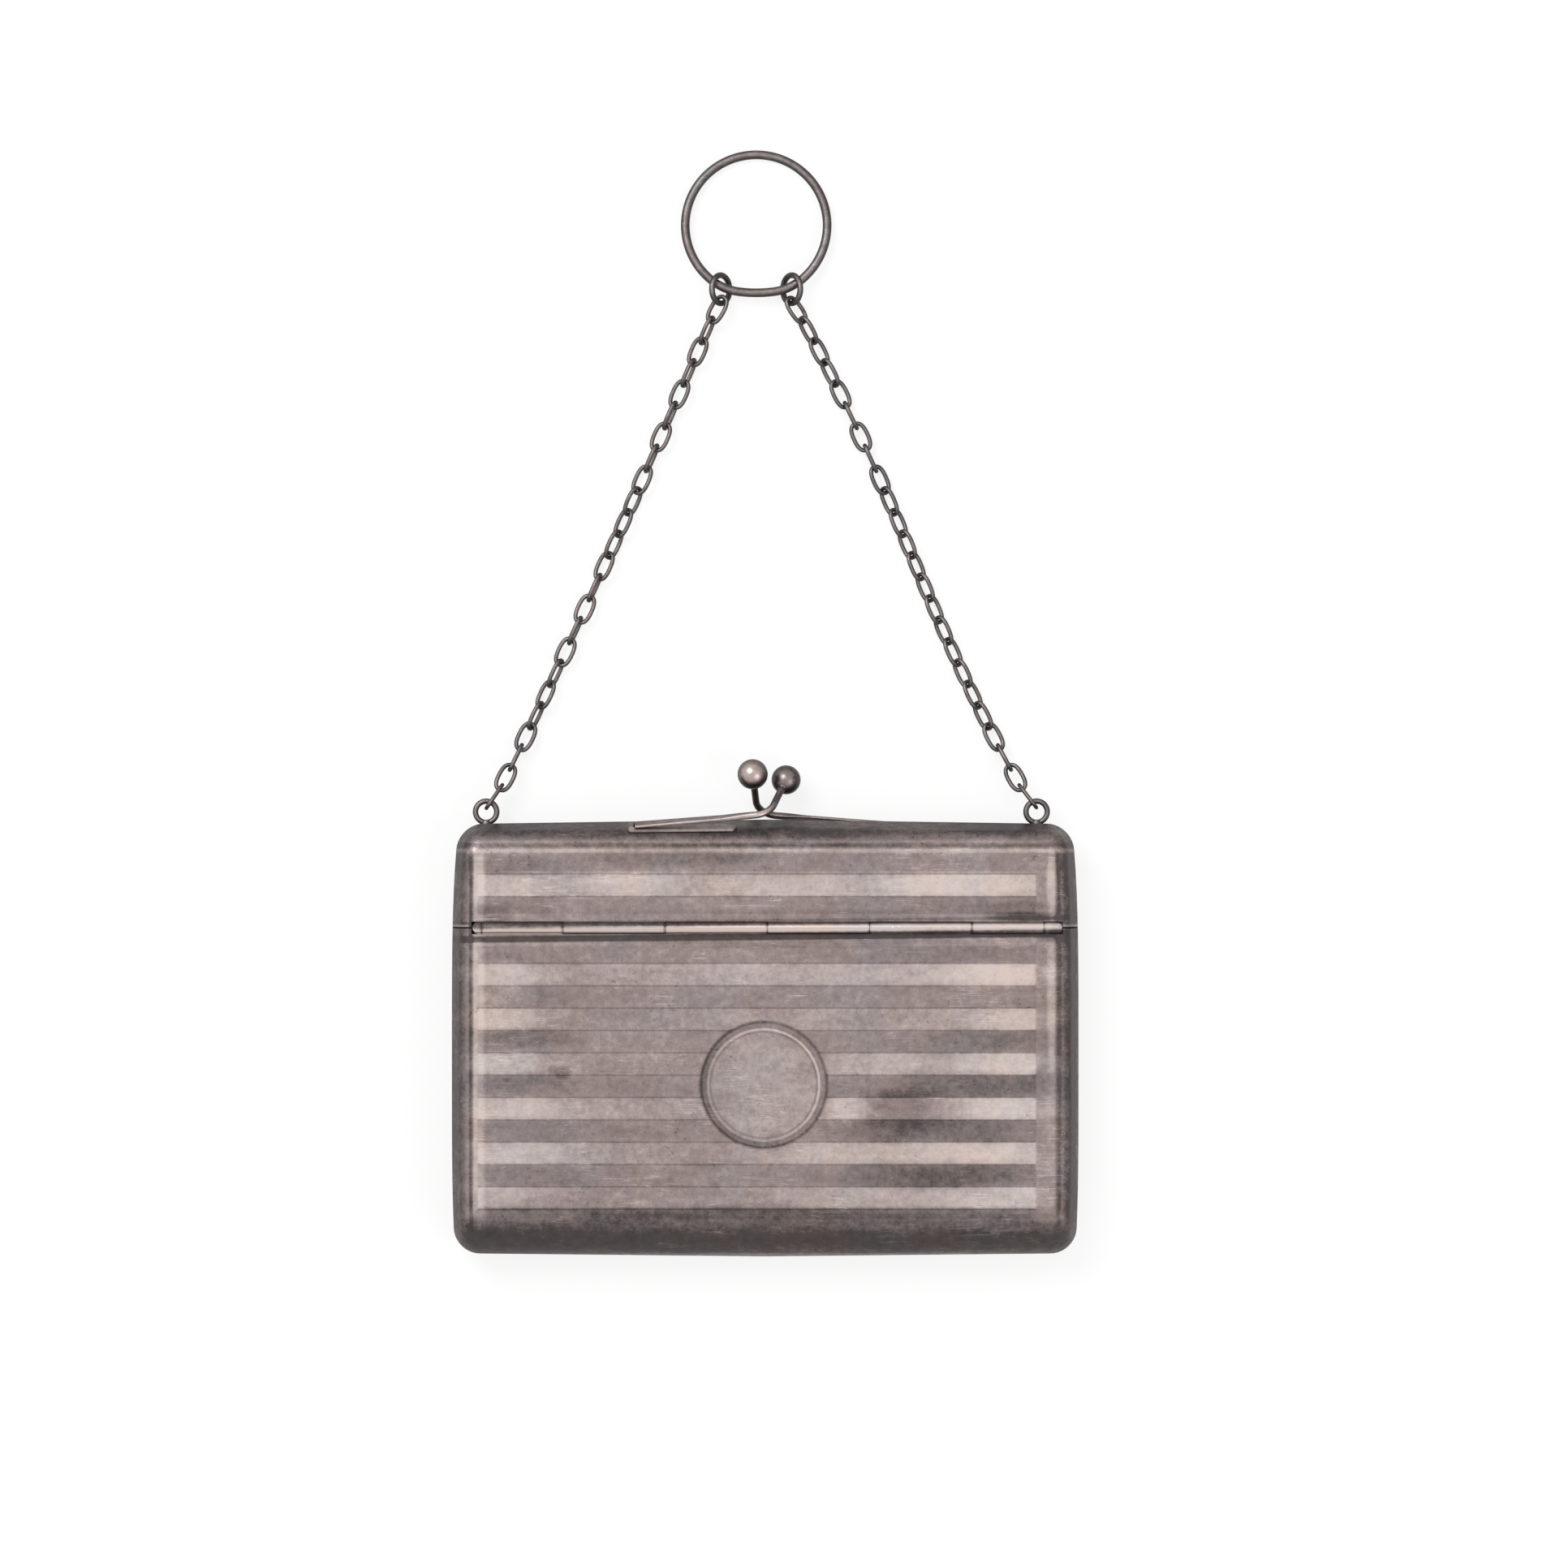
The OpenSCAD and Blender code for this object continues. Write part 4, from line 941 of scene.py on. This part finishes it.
def set_down_twice(tree, given, curve, sides, caps):
    """Gives a curve its wire and sets it down left and right, as real mesh with its metal."""
    section = add(tree, "GeometryNodeCurvePrimitiveCircle", Resolution=sides,
                  Radius=times(given["Wire"], 0.5))
    wire = add(tree, "GeometryNodeCurveToMesh", Curve=curve, Profile_Curve=section, Fill_Caps=caps)
    soft = add(tree, "GeometryNodeSetShadeSmooth", Geometry=wire)
    join = tree.nodes.new("GeometryNodeJoinGeometry")
    for side in ("Right", "Left"):
        moved = add(tree, "GeometryNodeTransform", Geometry=soft,
                    Translation=given[side + " place"], Rotation=given[side + " turn"])
        tree.links.new(moved.outputs[0], join.inputs[0])
    real = add(tree, "GeometryNodeRealizeInstances", Geometry=join)
    metal = add(tree, "GeometryNodeSetMaterial", Geometry=real, Material=given["Metal"])
    tree.links.new(metal.outputs[0], tree.nodes.new("NodeGroupOutput").inputs[0])


def link_tree():
    """The tree that draws two oval links."""
    tree, given = tree_with_inputs("pair of oval links", "Length", "Width", "Wire", "Fullness")
    circle = add(tree, "GeometryNodeCurvePrimitiveCircle", Resolution=56, Radius=1)
    position = tree.nodes.new("GeometryNodeInputPosition")
    parts = add(tree, "ShaderNodeSeparateXYZ", Vector=position).outputs
    power = calc("DIVIDE", 2, given["Fullness"])
    halves = []
    for part, size in ((parts[0], given["Width"]), (parts[1], given["Length"])):
        pulled = calc("POWER", calc("ABSOLUTE", part), power)
        half = times(minus(size, given["Wire"]), 0.5)
        halves.append(times(pulled, calc("SIGN", part), half))
    spot = add(tree, "ShaderNodeCombineXYZ", X=halves[0], Y=halves[1])
    oval = add(tree, "GeometryNodeSetPosition", Geometry=circle, Position=spot)
    even = add(tree, "GeometryNodeResampleCurve", Curve=oval, Count=52)
    set_down_twice(tree, given, even, sides=14, caps=False)
    return tree


pair_of_links = link_tree()
print("link tree nodes", len(pair_of_links.nodes))

# %% [markdown]
# The hooks are the points where one link hangs in the next. They follow the same rule as the
# CAD does: a straight run from eyelet to ring, bowed a little on the left and waved on the right, with
# each step as long as a link allows. A link stands between two hooks and is turned about its length.
# Two wires are a little thinner than the CAD's: the first row's, which is also fuller in its bends, and
# the jump rings'. With the CAD's sizes these finer meshes touch their neighbours at the limits.

# %% Hooks
ROWS = 24
LINK_L, LINK_W, LINK_WIRE, LINK_PLAY = 4.68, 2.7, 0.62, 0.063
EYE_X, EYE_Y, EYE_Z, EYE_R, EYE_WIRE, EYE_PLAY = (-40.1, 39), 32.6003, 4.4, 1.53, 0.8, 0.25
RING_X, JUMP_X, JUMP_R, JUMP_WIRE, JUMP_TURN, JUMP_PLAY, JUMP_LIFT = -1.3, 5.1, 2.03, 0.9, 52, 0.16, 0.45
FLOOR = 0.02
HOOK_ANGLE = radians(24)
LEFT_BOW, RIGHT_WAVE = 0.45, -0.6
FULLNESS, FIRST_FULLNESS, FIRST_THINNER, JUMP_THINNER = 2.5, 3.2, 0.05, 0.04
END = (LINK_L - LINK_WIRE) / 2
HOOKED = LINK_WIRE + LINK_PLAY
FIRST, LAST = (EYE_WIRE + LINK_WIRE) / 2 + EYE_PLAY, (JUMP_WIRE + LINK_WIRE) / 2 + JUMP_PLAY
JUMP_Z = JUMP_R * sin(radians(JUMP_TURN)) + JUMP_WIRE / 2 + FLOOR
RUN_Z = LINK_W / 2 + FLOOR


def look_up(k, table):
    """Straight-line look-up between points of a short table."""
    for (a, va), (b, vb) in zip(table, table[1:]):
        if k <= b:
            return va + (vb - va) * max(0, (k - a) / (b - a))
    return table[-1][1]


def hook_x(side, k):
    """Where hook k lies across the case, on the left (-1) or on the right (1)."""
    start, stop = EYE_X[side > 0] - side * EYE_R * sin(HOOK_ANGLE), RING_X + side * JUMP_X
    turns = pi * k / ROWS
    wave = LEFT_BOW * sin(turns) if side < 0 else RIGHT_WAVE * sin(2 * turns)
    return start + (stop - start) * k / ROWS + wave


def span(k):
    """How far hook k lies from the one before it."""
    if k == 1:
        return 2 * END - FIRST - HOOKED / 2
    return 2 * END - (LAST + HOOKED / 2 if k == ROWS else HOOKED)


# heights of the hooks, and turns of the links about their length, at some of the rows
HEIGHTS = ((0, EYE_Z), (1, EYE_Z - 0.95), (2, EYE_Z - 1.95), (3, EYE_Z - 2.7), (4, RUN_Z), (ROWS - 3, RUN_Z),
           (ROWS - 1, RUN_Z + 0.45), (ROWS, JUMP_Z))
LEFT_TWIST = ((1, 0), (4, 0), (5, 25), (6, 40), (7, 25), (8, 10), (11, 10), (12, 30), (13, 42), (15, 45),
              (16, 25), (17, 12), (24, 25))
RIGHT_TWIST = ((1, 0), (3, 0), (4, 25), (5, 45), (15, 45), (16, 25), (17, 0), (19, 0), (20, 25), (21, 38),
               (24, 38))
heights = [look_up(k, HEIGHTS) for k in range(ROWS + 1)]
ups = [EYE_Y + EYE_R * cos(HOOK_ANGLE)]
for k in range(1, ROWS + 1):
    dx = (abs(hook_x(-1, k) - hook_x(-1, k - 1)) + abs(hook_x(1, k) - hook_x(1, k - 1))) / 2
    dz = heights[k] - heights[k - 1]
    ups.append(ups[-1] + sqrt(span(k) ** 2 - dx * dx - dz * dz))
print("last hook", round(ups[-1], 3), round(heights[-1], 3))

# %% Rows of links
WIRE_CAST = (0.93, 1, 1.02, 1)  # the wires are a shade cooler than the sheet
# The wires get painted light: lighter along their tops, darker on their flanks.
WIRE_LOOK = dict(patchy=0.22, gloss=0.36, grain=0.7, extra=painted_top_light(0.1, 0.34), cast=WIRE_CAST)
chain_silver = silver("chain silver", base=0.04, **WIRE_LOOK)


def link_place(side, k):
    """Centre and turn of one link, in metres and radians."""
    a = Vector((hook_x(side, k - 1), ups[k - 1], heights[k - 1]))
    b = Vector((hook_x(side, k), ups[k], heights[k]))
    along = (b - a).normalized()
    inner = along * (END - HOOKED / 2)
    centre = b - inner if k == 1 else a + inner if k == ROWS else (a + b) / 2
    twist = 90 * (k % 2) + (-look_up(k, LEFT_TWIST) if side < 0 else look_up(k, RIGHT_TWIST))
    turn = (Matrix.Rotation(-atan2(along.x, along.y), 3, "Z") @ Matrix.Rotation(asin(along.z), 3, "X")
            @ Matrix.Rotation(radians(twist), 3, "Y")).to_euler("XYZ")
    return centre * MM, Vector(turn)


def grow(name, tree, values):
    """Runs a Geometry Nodes tree on an empty mesh and keeps what it made as plain mesh. The tree's
    inputs are set by their identifiers, which are looked up by label."""
    piece = new_object(name, bpy.data.meshes.new(name))
    modifier = piece.modifiers.new("tree", "NODES")
    modifier.node_group = tree
    known = {s.name: s.identifier for s in tree.interface.items_tree if s.in_out == "INPUT"}
    for label, value in values.items():
        modifier[known[label]] = value
    piece.update_tag()
    bpy.context.view_layer.update()
    return as_mesh(piece)


for k in range(1, ROWS + 1):
    left, right = link_place(-1, k), link_place(1, k)
    first = k == 1
    row = grow("links_%02d" % k, pair_of_links, {
        "Length": LINK_L * MM, "Width": LINK_W * MM,
        "Wire": (LINK_WIRE - (FIRST_THINNER if first else 0)) * MM,
        "Fullness": FIRST_FULLNESS if first else FULLNESS,
        "Left place": left[0], "Left turn": left[1],
        "Right place": right[0], "Right turn": right[1], "Metal": chain_silver})
    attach(row, "row_%02d" % k)
    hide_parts("chain_row_%02d" % k)
print("links", 2 * ROWS, "faces a row", len(row.data.polygons))

# %% [markdown]
# ## Jump rings and finger ring
# A jump ring is a turn of wire closed but not soldered, so its two ends show as a fine line. The
# finger ring is a heavier wire. It isn't a true circle: it has been pulled flat between the two jump
# rings. Its centre line is four arcs that run into each other, and the same sweep carries the wire.

# %% Jump rings
OPENING, JUMP_START = 2.0, 70  # degrees


def jump_tree():
    """The tree that draws two open rings."""
    tree, given = tree_with_inputs("pair of jump rings", "Radius", "Wire", "Opening")
    sweep_angle = minus(2 * pi, calc("RADIANS", given["Opening"]))
    arc = add(tree, "GeometryNodeCurveArc", Resolution=64, Radius=given["Radius"], Sweep_Angle=sweep_angle)
    set_down_twice(tree, given, arc, sides=16, caps=True)
    return tree


jump_places = {}
for label, side in (("Left", -1), ("Right", 1)):
    jump_places[label + " place"] = Vector((RING_X + side * JUMP_X, ups[-1] + JUMP_R, JUMP_Z)) * MM
    turn = (Matrix.Rotation(radians(-side * JUMP_TURN), 3, "Y")
            @ Matrix.Rotation(radians(90 + side * JUMP_START), 3, "Z"))
    jump_places[label + " turn"] = Vector(turn.to_euler("XYZ"))
jumps = grow("open_rings", jump_tree(), {
    "Radius": JUMP_R * MM, "Wire": (JUMP_WIRE - JUMP_THINNER) * MM, "Opening": OPENING,
    "Metal": chain_silver, **jump_places})
smooth(jumps, 50)
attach(jumps, "jump_pair")
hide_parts("jump_rings")
eyelet_silver = silver("eyelet silver", base=0, **WIRE_LOOK)
for node in ("left_eyelet", "right_eyelet"):
    finish(node, eyelet_silver)
print("jump rings", len(jumps.data.polygons))

# %% Finger ring
RING_D, RING_WIRE, RING_FLAT, FLAT_R, FLAT_ANGLE = 21.7, 1.28, 0.45, 20, radians(40)
main_r = (RING_D - RING_WIRE) / 2
flat_rise = FLAT_R - main_r + RING_FLAT
corner_at = ((2 * (FLAT_R - main_r) * RING_FLAT + RING_FLAT ** 2)
             / (2 * (FLAT_R - main_r - flat_rise * cos(FLAT_ANGLE))))
corner_r = main_r - corner_at
corner_x, corner_y = corner_at * sin(FLAT_ANGLE), corner_at * cos(FLAT_ANGLE)
flat_half = atan2(corner_x, flat_rise + corner_y)
jump_on = asin((JUMP_X - corner_x) / corner_r)
ring_up = corner_y + corner_r * cos(jump_on)
ring_tilt = asin((JUMP_Z - RING_WIRE / 2 - FLOOR) / (ring_up + main_r))
down = -pi / 2
# each arc: centre, radius, first and last angle, steps
arcs = (((0, 0), main_r, down + FLAT_ANGLE, down + 2 * pi - FLAT_ANGLE, 120),
        ((-corner_x, -corner_y), corner_r, down - FLAT_ANGLE, down - flat_half, 14),
        ((0, flat_rise), FLAT_R, down - flat_half, down + flat_half, 20),
        ((corner_x, -corner_y), corner_r, down + flat_half, down + FLAT_ANGLE, 14))
tilt = Matrix.Rotation(-ring_tilt, 3, "X")
pivot = Vector((RING_X, ups[-1] + JUMP_R + JUMP_LIFT, JUMP_Z))
stations = []
for (cx, cy), r, start, stop, steps in arcs:
    for k in range(steps):
        a = start + (stop - start) * k / steps
        out_dir = Vector((cos(a), sin(a), 0))
        centre = Vector((cx, cy + ring_up, 0)) + out_dir * r
        stations.append((pivot + tilt @ centre, tilt @ Vector((0, 0, 1)), tilt @ out_dir,
                         RING_WIRE / 2, RING_WIRE / 2, 2))
# The finger ring gets the same painted light: lighter along the top of its wire, darker on its flanks.
ring_silver = silver("ring silver", base=0.16, patchy=0.22, gloss=0.34, grain=0.9,
                     extra=painted_top_light(0.18, 0.2), cast=WIRE_CAST)
finger = sweep("finger_wire", stations, ring_silver, closed=True, sides=24)
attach(finger, "ring")
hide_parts("finger_ring")
ring_top = pivot + tilt @ Vector((0, ring_up + main_r + RING_WIRE / 2, 0))
print("finger ring", len(finger.data.polygons), "top", round(ring_top.y, 2))
